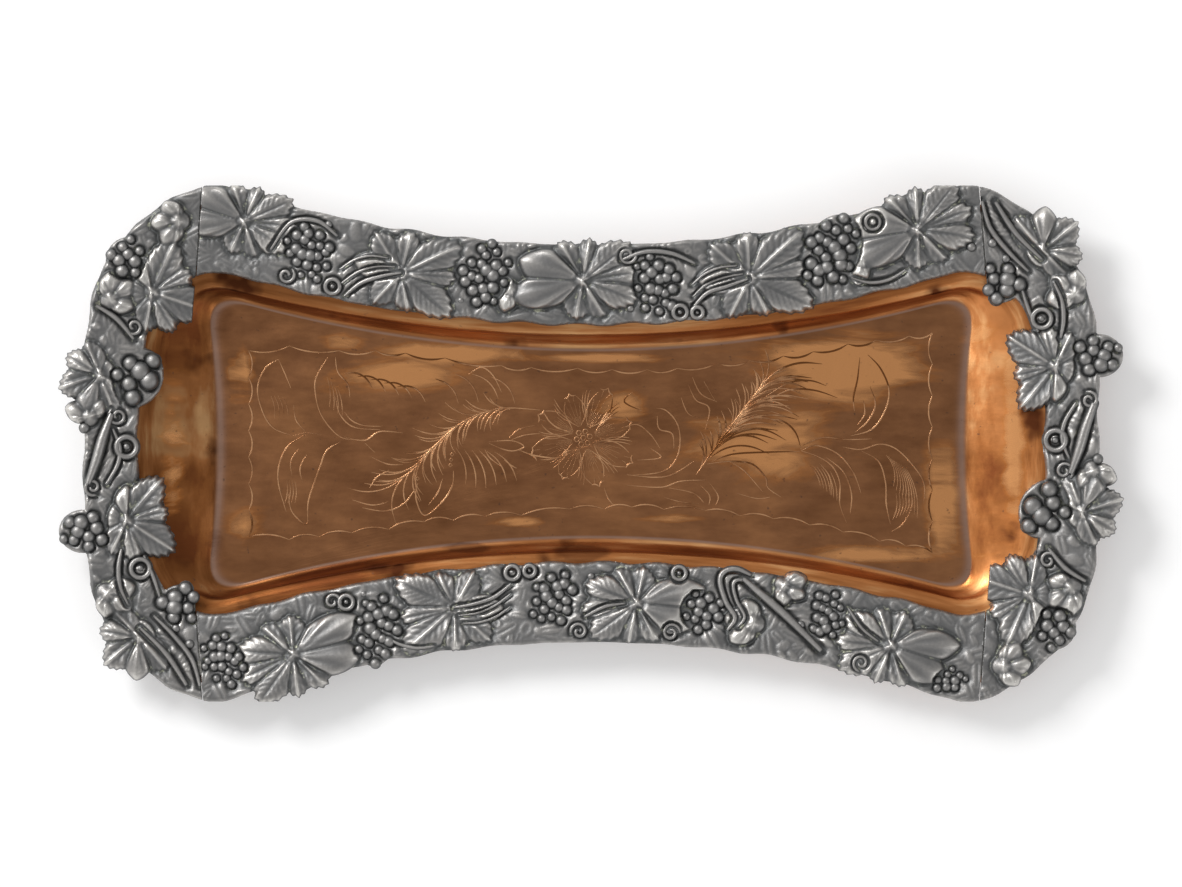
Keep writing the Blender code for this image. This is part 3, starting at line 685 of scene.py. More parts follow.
FRONT_BUNCHES = [
    Bunch(0.045, 0.78, 11.6, 8.3, 35, 10, 1.31),
    Bunch(0.200, 0.38, 17.3, 11.7, -89, 17, 1.52),
    Bunch(0.360, 0.55, 14.2, 13.9, 6, 13, 1.68),
    Bunch(0.547, 0.45, 18.4, 15.0, 69, 19, 1.68),
    Bunch(0.770, 0.60, 23.1, 15.0, 69, 22, 1.76),
    Bunch(0.970, 0.53, 18.9, 13.4, -73, 21, 1.52),
]
FRONT_STEMS = [
    stem(0.635, 0.40, 0.9, (-8.5, -3.6), (-3.1, -0.2), (3.1, 1.2), (9.2, 1.6)),
    stem(0.632, 0.54, 0.6, (-7.8, -4.0), (-2.8, -1.0), (2.6, 0.6), (8.4, 0.8)),
    stem(0.628, 0.68, 0.6, (-6.6, -3.8), (-2.2, -1.2), (2.8, 0.2), (7.8, 0.2)),
    stem(
        0.323, 0.28, 1.1,
        (-0.2, 11.2), (-2.0, 7.3), (1.2, 2.9), (3.6, -3.1), (2.4, -6.2), (-1.2, -7.2), (-5.4, -5.8),
    ),
    stem(0.312, 0.30, 0.8, (-0.6, 9.4), (-2.2, 6.2), (0.6, 1.9), (2.2, -2.6), (1.2, -4.4), (-2.2, -4.6)),
    stem(0.263, 0.42, 1.6, (11.9, -7.9), (4.8, -3.4), (-3.0, 1.6), (-14.4, 10.0)),
    stem(0.155, 0.40, 0.9, (5.3, -3.9), (0.1, 1.0), (-5.7, 3.8)),
    stem(0.482, 0.57, 0.9, (6.1, 2.7), (0.2, -0.4), (-5.8, -1.5)),
    stem(0.728, 0.86, 0.7, (-7.4, 1.2), (-2.4, 1.0), (2.6, -0.8), (6.4, -3.6)),
    curl(0.388, 0.10, 2.0),
    curl(0.578, 0.09, 1.7),
    curl(0.600, 0.10, 2.1),
    curl(0.812, 0.20, 2.1),
    tendril(0.400, 0.84, 2.8, 1.3, 180),
    tendril(0.515, 0.86, 2.6, -1.2, 10),
    tendril(0.830, 0.16, 2.6, 1.2, 120),
    tendril(0.160, 0.86, 2.6, -1.2, 90),
]
END_LEAVES = [
    Leaf(OUTWARD_LEAF, 0.145, 0.78, -20, 0.98),
    Leaf(INWARD_LEAF, 0.318, 0.23, -8, 0.95),
    Leaf(OUTWARD_LEAF, 0.625, 0.70, 2, 0.95),
    Leaf(INWARD_LEAF, 0.873, 0.25, 56, 1.0),
    Leaf(SPRIG, 0.240, 0.82, 35, 1.05),
    Leaf(SPRIG, 0.545, 0.88, 200, 0.95),
    Leaf(SPRIG, 0.760, 0.74, 150, 1.05),
    Leaf(SPRIG, 0.950, 0.72, -30, 1.05),
]
END_BUNCHES = [
    Bunch(0.035, 0.05, 16.0, 13.5, 45, 8, 2.2),
    Bunch(0.362, 1.03, 15.5, 14.0, 88, 10, 2.0),
    Bunch(0.680, 0.02, 19.0, 15.5, -12, 7, 2.65),
    Bunch(0.828, 0.82, 14.0, 13.0, 12, 9, 1.9),
]
END_STEMS = [
    stem(0.045, 0.53, 1.0, (-11.6, 5.4), (-4.9, 0.4), (3.7, -2.1), (12.1, -3.4)),
    stem(0.087, 0.72, 1.2, (-11.1, 0.8), (-0.4, -0.7), (10.9, 0)),
    stem(0.490, 0.68, 2.0, (-10.4, 3.7), (-3.4, 1.2), (3.6, -0.8), (10.6, -3.3)),
    stem(0.470, 0.40, 0.9, (-8.0, 2.8), (-2.0, -0.6), (3.2, -1.2), (8.6, 0.8)),
    stem(0.743, 0.55, 1.1, (-3.2, -6.9), (0.6, -0.1), (2.1, 7.0)),
    stem(0.235, 0.55, 1.0, (-8.6, 0.8), (-2.8, 1.0), (2.8, -0.6), (7.6, -3.4)),
    stem(0.138, 0.08, 0.9, (-6.2, 2.6), (-0.4, 0.1), (6.2, -2.0)),
    curl(0.193, 0.20, 2.8, 0.8),
    curl(0.492, 0.20, 3.0, 0.9),
    tendril(0.560, 0.36, 2.8, 1.3, 40),
    tendril(0.425, 0.82, 2.6, -1.3, 200),
    tendril(0.775, 0.26, 2.6, 1.2, 120),
]
MOTIFS = {
    "back": (BACK_LEAVES, BACK_BUNCHES, BACK_STEMS),
    "front": (FRONT_LEAVES, FRONT_BUNCHES, FRONT_STEMS),
    "right": (END_LEAVES, END_BUNCHES, END_STEMS),
    "left": (END_LEAVES, END_BUNCHES, END_STEMS),
}
for side, (leaves, bunches, stems) in MOTIFS.items():
    print(side, len(leaves), "leaves,", len(bunches), "bunches,", len(stems), "stems and tendrils")


# %% [markdown]
# ## Casting a border
# A cast border is one skin of metal with its whole pattern in relief, so the best account of it is a
# height field: for every point of a fine grid laid over the border, how high the metal stands there. A
# leaf, a vein or the hollow beside a stem is then a few lines of arithmetic, and where leaves meet, the
# higher one wins, which leaves the sharp creases that a mould has. The grid follows the border's outline
# by pulling its outermost points on to it. Modelling each leaf as its own object would need hundreds of
# joins for less detail.
#
# First comes the ground: how far each grid point is from the outlines, and so how high the seat under it
# is.

# %% The grid and the ground of a border
PITCH = 0.33  # millimetres between grid points
COARSER = 6  # distances are worked out on a grid this many times coarser
MARGIN = 9.0  # how far motifs reach past the band
SLOPE_INSIDE = 0.04  # how fast the seat falls inside the rim
RISE_OUTSIDE = 0.6  # how much further it rises outside
SEAM_REACH = 60.0  # a corner's seam cuts nothing further away than this
FAR = 99.0  # further than anything here
BARE = -9.0  # a height that means no motif


def distance_to(points, line):
    """How far each point is from a closed line, less than 0 inside it."""
    starts, stops = line, np.roll(line, -1, axis=0)
    along = stops - starts
    found = []
    for chunk in np.array_split(points, max(1, len(points) // 2000)):
        gap = chunk[:, None, :] - starts[None]
        share = np.clip((gap * along).sum(2) / (along**2).sum(1), 0, 1)
        away = np.sqrt(((gap - share[..., None] * along) ** 2).sum(2)).min(1)
        x, y = chunk[:, :1], chunk[:, 1:]
        spans = (starts[None, :, 1] > y) != (stops[None, :, 1] > y)
        rise = np.where(spans, stops[:, 1] - starts[:, 1], 1.0)
        crossing = starts[:, 0] + (y - starts[:, 1]) / rise * along[:, 0]
        inside = (spans & (x < crossing)).sum(1) % 2 == 1
        found.append(np.where(inside, -away, away))
    return np.concatenate(found)


def blurred(field, size):
    """The field smoothed over a size in millimetres."""
    reach = int(3 * size / PITCH) + 1
    weights = np.exp(-0.5 * (np.arange(-reach, reach + 1) * PITCH / size) ** 2)
    weights /= weights.sum()
    for _ in ("down", "across"):
        padded = np.pad(field, ((reach, reach), (0, 0)), "edge")
        field = sum(w * padded[i : i + len(field)] for i, w in enumerate(weights)).T
    return field


class Ground:
    """The grid over one border: its points, its outline and the seat under it, all in millimetres."""

    def __init__(self, span):
        inner, outer = loop(BAND_INNER, COARSE), loop(BAND_OUTER, COARSE)
        turns = [i % ROUND for i in range(span[0], span[1] + 1)]
        self.inner, self.outer = inner[turns], outer[turns]
        both = np.concatenate((self.inner, self.outer))
        low, high = both.min(0) - MARGIN, both.max(0) + MARGIN
        self.x = np.arange(low[0], high[0], PITCH)
        self.y = np.arange(low[1], high[1], PITCH)
        self.grid_x, self.grid_y = np.meshgrid(self.x, self.y)
        rim_in, rim_out = self.field(loop(RIM_INNER, FINE)), self.field(loop(RIM_OUTER, FINE))
        slope = RIM_INNER_Z + RIM_RISE * rim_in / np.maximum(rim_in - rim_out, 1.0)
        inside = RIM_INNER_Z + SLOPE_INSIDE * rim_in
        self.seat = np.where(rim_in < 0, inside, np.minimum(slope, RIM_OUTER_Z + RISE_OUTSIDE))
        self.band = np.minimum(self.field(loop(BAND_INNER, FINE)), -self.field(loop(BAND_OUTER, FINE)))
        self.seams = np.minimum(self.seam(0, 1), self.seam(-1, -2))

    def field(self, line):
        """How far each point is from a line, worked out on a coarser grid."""
        x, y = (np.linspace(axis[0], axis[-1], len(axis) // COARSER) for axis in (self.x, self.y))
        points = np.stack(np.meshgrid(x, y), axis=-1).reshape(-1, 2)
        values = distance_to(points, line).reshape(len(y), len(x))
        rows = np.array([np.interp(self.x, x, row) for row in values])
        return np.array([np.interp(self.y, y, column) for column in rows.T]).T

    def seam(self, end, neighbour):
        """How far each point is from the middle of a corner's seam, on this border's side of it."""
        near, far = self.inner[end], self.outer[end]
        normal = np.array((near[1] - far[1], far[0] - near[0]))
        normal /= np.linalg.norm(normal)
        if (self.inner[neighbour] - near) @ normal < 0:
            normal = -normal
        away = (self.grid_x - near[0]) * normal[0] + (self.grid_y - near[1]) * normal[1] - SEAM / 2
        near_corner = np.hypot(self.grid_x - near[0], self.grid_y - near[1]) < SEAM_REACH
        return np.where(near_corner, away, FAR)

    def on_band(self, along, across):
        """The point at these shares of the border, and the border's direction there."""
        middles = (self.inner + self.outer) / 2
        lengths = np.linalg.norm(np.diff(middles, axis=0), axis=1)
        left = along * lengths.sum()
        i = 0
        while i < len(lengths) - 1 and left > lengths[i]:
            left -= lengths[i]
            i += 1
        share = left / lengths[i]
        near = self.inner[i] + (self.inner[i + 1] - self.inner[i]) * share
        far = self.outer[i] + (self.outer[i + 1] - self.outer[i]) * share
        step = middles[i + 1] - middles[i]
        return near + (far - near) * across, math.atan2(step[1], step[0])

    def placed(self, motif, x, y):
        """A point given forwards and outwards from a motif's place."""
        spot, heading = self.on_band(motif.along, motif.across)
        return (
            spot[0] + x * math.cos(heading) - y * math.sin(heading),
            spot[1] + x * math.sin(heading) + y * math.cos(heading),
        )

    def local(self, motif, turn=0.0):
        """Every grid point as seen from a motif: forwards and outwards from its place."""
        spot, heading = self.on_band(motif.along, motif.across)
        angle = heading + math.radians(turn)
        x, y = self.grid_x - spot[0], self.grid_y - spot[1]
        return x * math.cos(angle) + y * math.sin(angle), y * math.cos(angle) - x * math.sin(angle)

    def sample(self, field, x, y):
        """A field's value at a point, from the four grid points round it."""
        i = min(max((x - self.x[0]) / PITCH, 0), len(self.x) - 1.001)
        j = min(max((y - self.y[0]) / PITCH, 0), len(self.y) - 1.001)
        a, b = int(i), int(j)
        u, v = i - a, j - b
        low = field[b, a] * (1 - u) + field[b, a + 1] * u
        high = field[b + 1, a] * (1 - u) + field[b + 1, a + 1] * u
        return low * (1 - v) + high * v


# %% [markdown]
# Now the relief. Seen from its heart, a leaf's edge is as far away as the longest lobe that points that
# way, and the crease between two lobes is where their reaches are equal. Each lobe's kind then shapes its
# surface: a cushion, a rib with raised edges, or a feather of side veins. Small teeth on the reach make
# the leaf's edge.

# %% Leaves in relief
LEAF_HEART = 0.36  # how far the leaf is whole, as a share of its longest lobe
SPREAD_ALONG, SPREAD_ACROSS = 1.2, 1.08  # a leaf is wider along its border than its pattern
MOAT = 0.9  # how deep the ground is pressed beside a motif
TEETH, TOOTH_DEPTH = 46, 0.055
LOBE_SPREAD = 3.0  # half a lobe's angle, as a multiple of its half width over its length
FALL_OFF, POINT = 0.62, 1.3  # how much shorter a lobe is at its sides, and how suddenly
RAYS = 21


def puffed(share, out):
    """A cushion, with a furrow near each side and ribs along it."""
    dome = np.sqrt(np.clip(1 - share**2, 0, 1))
    shape = 0.7 + dome * np.sin(math.pi * np.clip(0.12 + 0.74 * out, 0, 1)) ** 0.7
    shape -= 0.4 * ridge(np.abs(share) - 0.62, 0.09) * (out > 0.3)
    return shape + 0.24 * np.cos(13 * share) * np.clip(out, 0, 1)


def ribbed(share, side, radius):
    """A raised vein and raised sides, with faint veins between them."""
    veins = np.sin(2 * math.pi * (radius - 1.2 * side) / 2.3) * np.clip(side / 1.2, 0, 1)
    return 0.4 + 0.8 * ridge(side, 0.5) + 1.2 * np.abs(share) ** 1.6 + 0.08 * veins


def feathered(share, side, radius):
    """A groove along the middle, with many sharp veins that leave it at a slant."""
    veins = (((radius - 1.15 * side) / 1.75) % 1 - 0.5) * np.clip(side / 0.8, 0, 1)
    return 1.25 + 0.24 * veins - 0.45 * ridge(side, 0.42) - 0.25 * np.abs(share)


def leaf_relief(leaf, ground):
    """How high a leaf stands above the ground, and how far each point is inside its edge."""
    x, y = ground.local(leaf, leaf.turn)
    x, y = x / (leaf.size * SPREAD_ALONG), y / (leaf.size * SPREAD_ACROSS)
    radius, angle = np.hypot(x, y), np.arctan2(y, x)
    middle = LEAF_HEART * max(lobe.length for lobe in leaf.lobes)
    reach = np.full(x.shape, middle)
    second = np.full(x.shape, middle * 0.8)
    surface = np.full(x.shape, 1.0)
    for number, lobe in enumerate(leaf.lobes):
        turn = (angle - math.radians(lobe.direction) + math.pi) % (2 * math.pi) - math.pi
        share = turn / (LOBE_SPREAD * lobe.half_width / lobe.length)
        fall = FALL_OFF * np.abs(share) ** POINT
        lobe_reach = np.where(np.abs(share) < 1, lobe.length * (1 - fall), 0)
        if lobe.kind != "puffed":
            lobe_reach = lobe_reach * (1 - TOOTH_DEPTH * np.abs((angle * TEETH / math.pi) % 2 - 1))
        side = np.abs(radius * np.sin(turn))
        out = np.clip(radius / np.maximum(lobe_reach, 1), 0, 1.2)
        bend = 0.45 * np.sin(2 * math.pi * (0.75 * out + 0.29 * number))
        if lobe.kind == "puffed":
            shape = puffed(share, out)
        elif lobe.kind == "ribbed":
            shape = ribbed(share, side, radius) + bend
        else:
            shape = feathered(share, side, radius) + 0.8 * bend
        wins = lobe_reach > reach
        second = np.where(wins, reach, np.maximum(second, lobe_reach))
        surface = np.where(wins, shape, surface)
        reach = np.where(wins, lobe_reach, reach)
    crease = 0.75 * ridge(reach - second, 1.1) * np.clip(radius / 3.0, 0, 1)
    heart = 0.55 * ridge(radius, 0.95) - 0.45 * ridge(radius - 2.1, 0.7)
    rays = 0.1 * np.cos(angle * RAYS) * ridge(radius - 4.6, 2.6)
    edge = np.clip(radius / reach, 0, 1)
    fall = np.sqrt(np.clip(1 - edge**9, 0, 1))
    height = (surface + heart + rays - crease + 0.35) * fall - MOAT * (1 - fall)
    inside = (reach - radius) * leaf.size * 0.85
    return np.where(inside > 0, height, BARE), inside


# %% [markdown]
# Grapes lie in an oval in a spiral that fills it evenly, as seeds fill a sunflower. The ground between
# the motifs is never bare on such a border: small round seeds, some of them pitted, and long ones with a
# groove fill it, scattered at random but from a fixed seed, so that every run gives the same casting.

# %% Grapes, stems and the ground between
GOLDEN_ANGLE = math.pi * (3.0 - math.sqrt(5.0))
BERRY_FLATNESS = 0.72
BERRY_INSET = 0.7  # how far a bunch's outermost berries keep inside its oval, in radii
BED_MARGIN = -0.5
FILLER_TRIES = 3500
SEED_RADIUS = (0.9, 2.1)
SEED_STRETCH = (1.2, 3.0)  # a seed's length over its width
SEED_HEIGHT = (0.2, 0.5)
GROOVED = 1.8  # seeds stretched more than this have a groove
PITTED_SHARE = 0.35  # the share of the others that have a pit


def berries(bunch):
    """Each berry's place from the bunch's middle and its radius, largest in the middle."""
    angle = math.radians(bunch.turn)
    for k in range(bunch.count):
        spread = math.sqrt((k + 0.5) / bunch.count)
        radius = bunch.berry * (1.06 - 0.25 * spread * spread + 0.14 * math.sin(3.7 * k + bunch.turn))
        wander = k * GOLDEN_ANGLE + 0.1 * math.sin(2.9 * k + bunch.length)
        along = (bunch.length / 2 - BERRY_INSET * radius) * spread * math.cos(wander)
        across = (bunch.width / 2 - BERRY_INSET * radius) * spread * math.sin(wander)
        x = along * math.cos(angle) - across * math.sin(angle)
        y = along * math.sin(angle) + across * math.cos(angle)
        yield x, y, radius


def smooth_path(points, closed, step=0.5):
    """Points close together on a smooth curve through a few."""
    points = [np.array(p, float) for p in points]
    if closed:
        points = [points[-1], *points, points[0], points[1]]
    else:
        points = [2 * points[0] - points[1], *points, 2 * points[-1] - points[-2]]
    found = []
    for a, b, c, d in zip(points, points[1:], points[2:], points[3:]):
        pieces = max(2, int(np.linalg.norm(c - b) / step))
        found += [curved(a, b, c, d, i / pieces) for i in range(pieces)]
    return np.array(found if closed else found + [points[-2]])


def path_distance(ground, path):
    """How far each grid point is from a path. Only points near it are worked out."""
    found = np.full(ground.grid_x.shape, FAR)
    low, high = path.min(0) - 4, path.max(0) + 4
    i0, i1 = np.searchsorted(ground.x, (low[0], high[0]))
    j0, j1 = np.searchsorted(ground.y, (low[1], high[1]))
    near = np.stack((ground.grid_x[j0:j1, i0:i1], ground.grid_y[j0:j1, i0:i1]), axis=-1)
    best = np.full(near.shape[:2], FAR)
    for point in path:
        best = np.minimum(best, np.hypot(near[..., 0] - point[0], near[..., 1] - point[1]))
    found[j0:j1, i0:i1] = best
    return found


def stem_path(ground, motif):
    return smooth_path([ground.placed(motif, x, y) for x, y in motif.points], motif.closed)


def filler(ground, free, seed):
    """Seeds and pits wherever there is room, and how many. free is how far each point is from a motif."""
    dice = np.random.default_rng(seed)
    height = np.zeros(free.shape)
    taken = free.copy()
    room = (free > 0.5) & (ground.band > 0.7) & (ground.seams > 1.0)
    rows, columns = np.nonzero(room)
    placed = 0
    for pick in dice.permutation(len(rows))[:FILLER_TRIES]:
        j, i = rows[pick], columns[pick]
        radius = dice.uniform(*SEED_RADIUS)
        if taken[j, i] < radius * 0.8:
            continue
        angle, long = dice.uniform(0, math.pi), dice.uniform(*SEED_STRETCH)
        reach = int((radius * long + 1.0) / PITCH) + 1
        part = (slice(max(j - reach, 0), j + reach + 1), slice(max(i - reach, 0), i + reach + 1))
        dx, dy = ground.grid_x[part] - ground.x[i], ground.grid_y[part] - ground.y[j]
        along = (dx * math.cos(angle) + dy * math.sin(angle)) / long
        side = dy * math.cos(angle) - dx * math.sin(angle)
        away = np.hypot(along, side) / radius
        dome = dice.uniform(*SEED_HEIGHT) * np.clip(1 - away**2, 0, 1) ** 0.6
        if long > GROOVED:
            dome = dome - 0.3 * ridge(side, 0.4) * (away < 0.8)
        elif dice.random() < PITTED_SHARE:
            dome = dome - 0.6 * ridge(away, 0.45) * (away < 1)
        height[part] = np.maximum(height[part], dome)
        taken[part] = np.minimum(taken[part], (away - 1) * radius)
        placed += 1
    return height, placed


# %% [markdown]
# With its pieces ready, a border's height field is put together motif by motif: leaves first, then a
# hollow under every grape and beside every stem, and the small filling on the ground that is left. Each
# motif also pushes the outline out to its own edge. Subtracting a blurred copy of the field from the
# field itself tells which points stand proud of what is round them and which lie in a recess. That goes
# into the mesh as the attribute "relief", together with painted shade round every grape and stem and a
# lighter rolled edge, as wear and painted highlight. The finish uses it to darken the recesses, as tarnish
# and as painted shade, and to brighten what stands proud, as the wear of fingers and as painted highlight.

# %% The relief of a border
GROUND_LEVEL = -0.2
BOX_MARGIN = 0.2
HALF_BOX = (1000 * CAD_BOX[1].x - BOX_MARGIN, 1000 * CAD_BOX[1].y - BOX_MARGIN)
EDGE_ROLL, ROLL_DEPTH = 1.3, 1.5  # how far from its edge a border starts to round off, and how deep it goes
SOFTNESS = 0.2
LEAF_TARNISH = 0.05  # leaves lie deeper in tarnish than the grapes and stems round them
CLOSE, WIDE = 0.8, 2.6  # sizes over which a point is compared with its surroundings
CLOSE_COUNTS, WIDE_COUNTS = 0.62, 0.22  # how much relief a millimetre above them makes
# A lighter rolled edge, as wear and painted highlight, and painted shade round grapes and stems.
EDGE_SHINE, GRAPE_SHADE = 0.12, 0.26


def border_relief(ground, side, seed):
    """Each grid point's height above the seat, its relief and how far it is inside the outline."""
    leaves, bunches, stems = MOTIFS[side]
    outline = ground.band + 0.45 * np.sin(ground.grid_x / 2.6) * np.cos(ground.grid_y / 2.9)
    nearest = np.full(outline.shape, FAR)
    tops = np.full(outline.shape, BARE)
    shade = np.zeros(outline.shape)
    for leaf in leaves:
        height, inside = leaf_relief(leaf, ground)
        tops = np.maximum(tops, height)
        outline = np.maximum(outline, inside)
        nearest = np.minimum(nearest, -inside)
    for bunch in bunches:
        x, y = ground.local(bunch, bunch.turn)
        half = (bunch.length / 2 + BED_MARGIN, bunch.width / 2 + BED_MARGIN)
        inside = (1 - np.hypot(x / half[0], y / half[1])) * min(half)
        outline = np.maximum(outline, inside)
        tops = np.where(inside > 0, np.minimum(tops, -0.3), tops)
        for forwards, outwards, radius in berries(bunch):
            spot = ground.placed(bunch, forwards, outwards)
            away = np.hypot(ground.grid_x - spot[0], ground.grid_y - spot[1])
            outline = np.maximum(outline, radius + 0.1 - away)
            tops = np.where(away < radius + 0.3, np.minimum(tops, -0.7), tops)
            nearest = np.minimum(nearest, away - radius)
            # Painted shade: a dark ring round the foot of every grape.
            shade = np.maximum(shade, np.exp(-np.clip(away - radius, 0, 9) / 0.45))
    for motif in stems:
        away = path_distance(ground, stem_path(ground, motif)) - motif.radius
        nearest = np.minimum(nearest, away)
        outline = np.maximum(outline, 0.1 - away)
        hollow = MOAT - ridge(away, 0.5)
        tops = np.where(away < 0.6, np.minimum(tops, hollow), tops)
        # Painted shade beside every stem, fainter than at the grapes.
        shade = np.maximum(shade, 0.5 * np.exp(-np.clip(away, 0, 9) / 0.35))
    small, placed = filler(ground, nearest, seed)
    bare = GROUND_LEVEL + small - MOAT * np.exp(-np.clip(nearest, 0, 9) / 0.8)
    field = blurred(np.where(tops > BARE, tops, bare), SOFTNESS)
    outline = np.minimum(outline, HALF_BOX[0] - np.abs(ground.grid_x))
    outline = np.minimum(outline, HALF_BOX[1] - np.abs(ground.grid_y))
    close = field - blurred(field, CLOSE)
    wide = field - blurred(field, WIDE)
    # Recesses come out darker and what stands proud lighter: tarnish and wear, with painted shade and
    # painted highlight on top of them.
    relief = np.clip(0.5 + CLOSE_COUNTS * close + WIDE_COUNTS * wide, 0, 1)
    roll = np.clip(1 - outline / EDGE_ROLL, 0, 1)
    field = field - ROLL_DEPTH * (1 - np.sqrt(1 - roll**2))
    # Painted highlight and wear on the rolled edge, painted shade round grapes and stems, leaves a little
    # deeper in tarnish.
    relief = relief + EDGE_SHINE * roll - GRAPE_SHADE * shade - LEAF_TARNISH * (tops > BARE)
    relief = np.clip(relief, 0, 1)
    outline = np.minimum(outline, ground.seams)
    print(side, "has", placed, "small seeds and pits; relief from", round(float(field.min()), 2), "mm")
    return SEAT_GAP + CASTING + field, relief, outline


# %% [markdown]
# To make the mesh, every square of the grid whose corners all lie inside the outline becomes a face, and
# the points that lie within half a step of the outline are pulled on to it, so that the edge is smooth
# and not a staircase. A wall goes down from the edge, and the flat back of the casting closes it.

# %% From height field to casting
SNAP = 0.62  # share of the pitch within which a point is pulled on to the outline
LEAST_STEEP = 0.15
HIGHEST = 1000 * CAD_BOX[1].z - 0.1
BACK_RELIEF = 0.3  # how bright the flat back is, as a relief


def kept_faces(inside):
    """Faces over the grid: squares with four corners inside, and triangles with three."""
    index = np.arange(inside.size).reshape(inside.shape)
    corners = [index[:-1, :-1], index[:-1, 1:], index[1:, 1:], index[1:, :-1]]
    flags = np.stack([inside.ravel()[c] for c in corners])
    count = flags.sum(0)
    squares = np.stack([c[count == 4] for c in corners], axis=1)
    triangles = []
    for missing in range(4):
        which = (count == 3) & ~flags[missing]
        triangles.append(np.stack([c[which] for k, c in enumerate(corners) if k != missing], axis=1))
    return squares.tolist() + np.concatenate(triangles).tolist()


def open_sides(faces):
    """The sides of the faces that no other face shares, each from point to point."""
    sides = {(a, b) for face in faces for a, b in zip(face, face[1:] + face[:1])}
    return sorted((a, b) for a, b in sides if (b, a) not in sides)


def one_piece(faces):
    """The largest joined group of the faces, without any that meet the rest only at a point."""
    for _ in range(6):
        starts = Counter(a for a, _ in open_sides(faces))
        pinched = {a for a, number in starts.items() if number > 1}
        if not pinched:
            break
        faces = [face for face in faces if not pinched.intersection(face)]
    parent = {}

    def root(a):
        while parent.setdefault(a, a) != a:
            parent[a] = parent[parent[a]]
            a = parent[a]
        return a

    for face in faces:
        first = root(face[0])
        for a in face[1:]:
            parent[root(a)] = first
            first = root(first)
    groups = {}
    for face in faces:
        groups.setdefault(root(face[0]), []).append(face)
    return max(groups.values(), key=len)


def casting_mesh(name, ground, height, relief, outline):
    """A closed mesh from a border's height field, its relief and its outline."""
    slope_y, slope_x = np.gradient(outline, PITCH)
    steep = np.maximum(slope_x**2 + slope_y**2, LEAST_STEEP)
    near = np.abs(outline) < SNAP * PITCH * np.sqrt(steep)
    pull = np.where(near, outline / steep, 0)
    x, y = ground.grid_x - pull * slope_x, ground.grid_y - pull * slope_y
    faces = one_piece(kept_faces((outline > 0) | near))
    used = np.unique(np.concatenate([np.ravel(face) for face in faces]))
    renumber = np.full(outline.size, -1)
    renumber[used] = np.arange(len(used))
    faces = [[int(renumber[a]) for a in face] for face in faces]
    z = np.minimum(ground.seat + height, HIGHEST)
    top = np.column_stack((x.ravel()[used], y.ravel()[used], z.ravel()[used]))
    rim = open_sides(faces)
    lower = {a: len(top) + k for k, (a, _) in enumerate(rim)}
    seat = ground.seat.ravel()[used]
    back = [(top[a][0], top[a][1], seat[a] + SEAT_GAP) for a, _ in rim]
    faces += [(b, a, lower[a], lower[b]) for a, b in rim]
    mesh = bpy.data.meshes.new(name)
    mesh.from_pydata(mm(np.vstack((top, back))).tolist(), [], faces)
    set_attribute(mesh, "relief", np.concatenate((relief.ravel()[used], np.full(len(back), BACK_RELIEF))))
    body = bmesh.new()
    body.from_mesh(mesh)
    body.verts.ensure_lookup_table()
    open_edges = [edge for edge in body.edges if edge.is_boundary]
    bmesh.ops.triangle_fill(body, edges=open_edges, use_beauty=True)
    bmesh.ops.recalc_face_normals(body, faces=body.faces)
    loose = sum(1 for edge in body.edges if not edge.is_manifold)
    body.to_mesh(mesh)
    body.free()
    mesh.shade_smooth()
    print(name, len(mesh.vertices), "points,", loose, "edges not closed")
    return mesh


# %% [markdown]
# ## The silvered finish
# The borders are a white metal, silvered and long since darkened. Polishing only ever reaches what stands
# proud, so the tops of leaves and grapes are worn to a soft grey shine, the slopes are pewter grey, and
# the recesses stay dark, with a little pale polish dried into the deepest of them. Painted light is laid
# over that: the recesses and the feet of grapes and stems are painted darker as shade, and the tops and
# rolled edges lighter as highlight. The "relief" attribute says which is which, and noise breaks it up.
# The grain of the cast skin is drawn half a millimetre wide.

# %% Worn silver over white metal
# White metal cast, silvered and gone dark, and polished on what stands proud, with painted shade in the
# recesses and painted highlight on the tops.
silver, tree, shader = new_material("silvered_white_metal", 0.92, 0.38)
place_on = add(tree, "ShaderNodeTexCoord").outputs["Object"]
relief = attribute(tree, "relief")["Fac"]
patches = combine(tree, "MULTIPLY", noise(tree, place_on, 11, 4, 0.6), 0.22)
fine = combine(tree, "MULTIPLY", noise(tree, place_on, 0.9, 3, 0.6), 0.16)
shift = combine(tree, "SUBTRACT", combine(tree, "ADD", patches, fine), 0.19)
level = combine(tree, "ADD", relief, shift)
tones = ((0.16, "#606161"), (0.36, "#6a6a6a"), (0.52, "#7e7d7c"), (0.70, "#9f9c99"), (0.88, "#c8c5c0"))
# Tones from dark recesses to light tops: tarnish and wear, with painted shade and painted highlight.
colour = ramp(tree, level, *tones)
dried = noise(tree, place_on, 2.4, 3, 0.7)
deep = ramp(tree, relief, (0.16, 1.0), (0.36, 0.0))
residue = combine(tree, "MULTIPLY", ramp(tree, dried, (0.55, 0.0), (0.66, 1.0)), deep)
colour = mix(tree, combine(tree, "MULTIPLY", residue, 0.75), colour, linear("#b4b5a0"))
worn = ramp(tree, level, (0.30, 0.55), (0.75, 0.40))
grainy = bump(tree, noise(tree, place_on, 0.5, 3, 0.65), 0.05, 0.7)
pitted = bump(tree, noise(tree, place_on, 1.7, 4, 0.6), 0.16, 0.6, grainy)
link(tree, shader, Base_Color=colour, Roughness=worn, Normal=pitted)

# %% Cast the four borders
FILLER_SEEDS = {"back": 5, "right": 1, "front": 7, "left": 1}  # the ends share a pattern, and so a seed

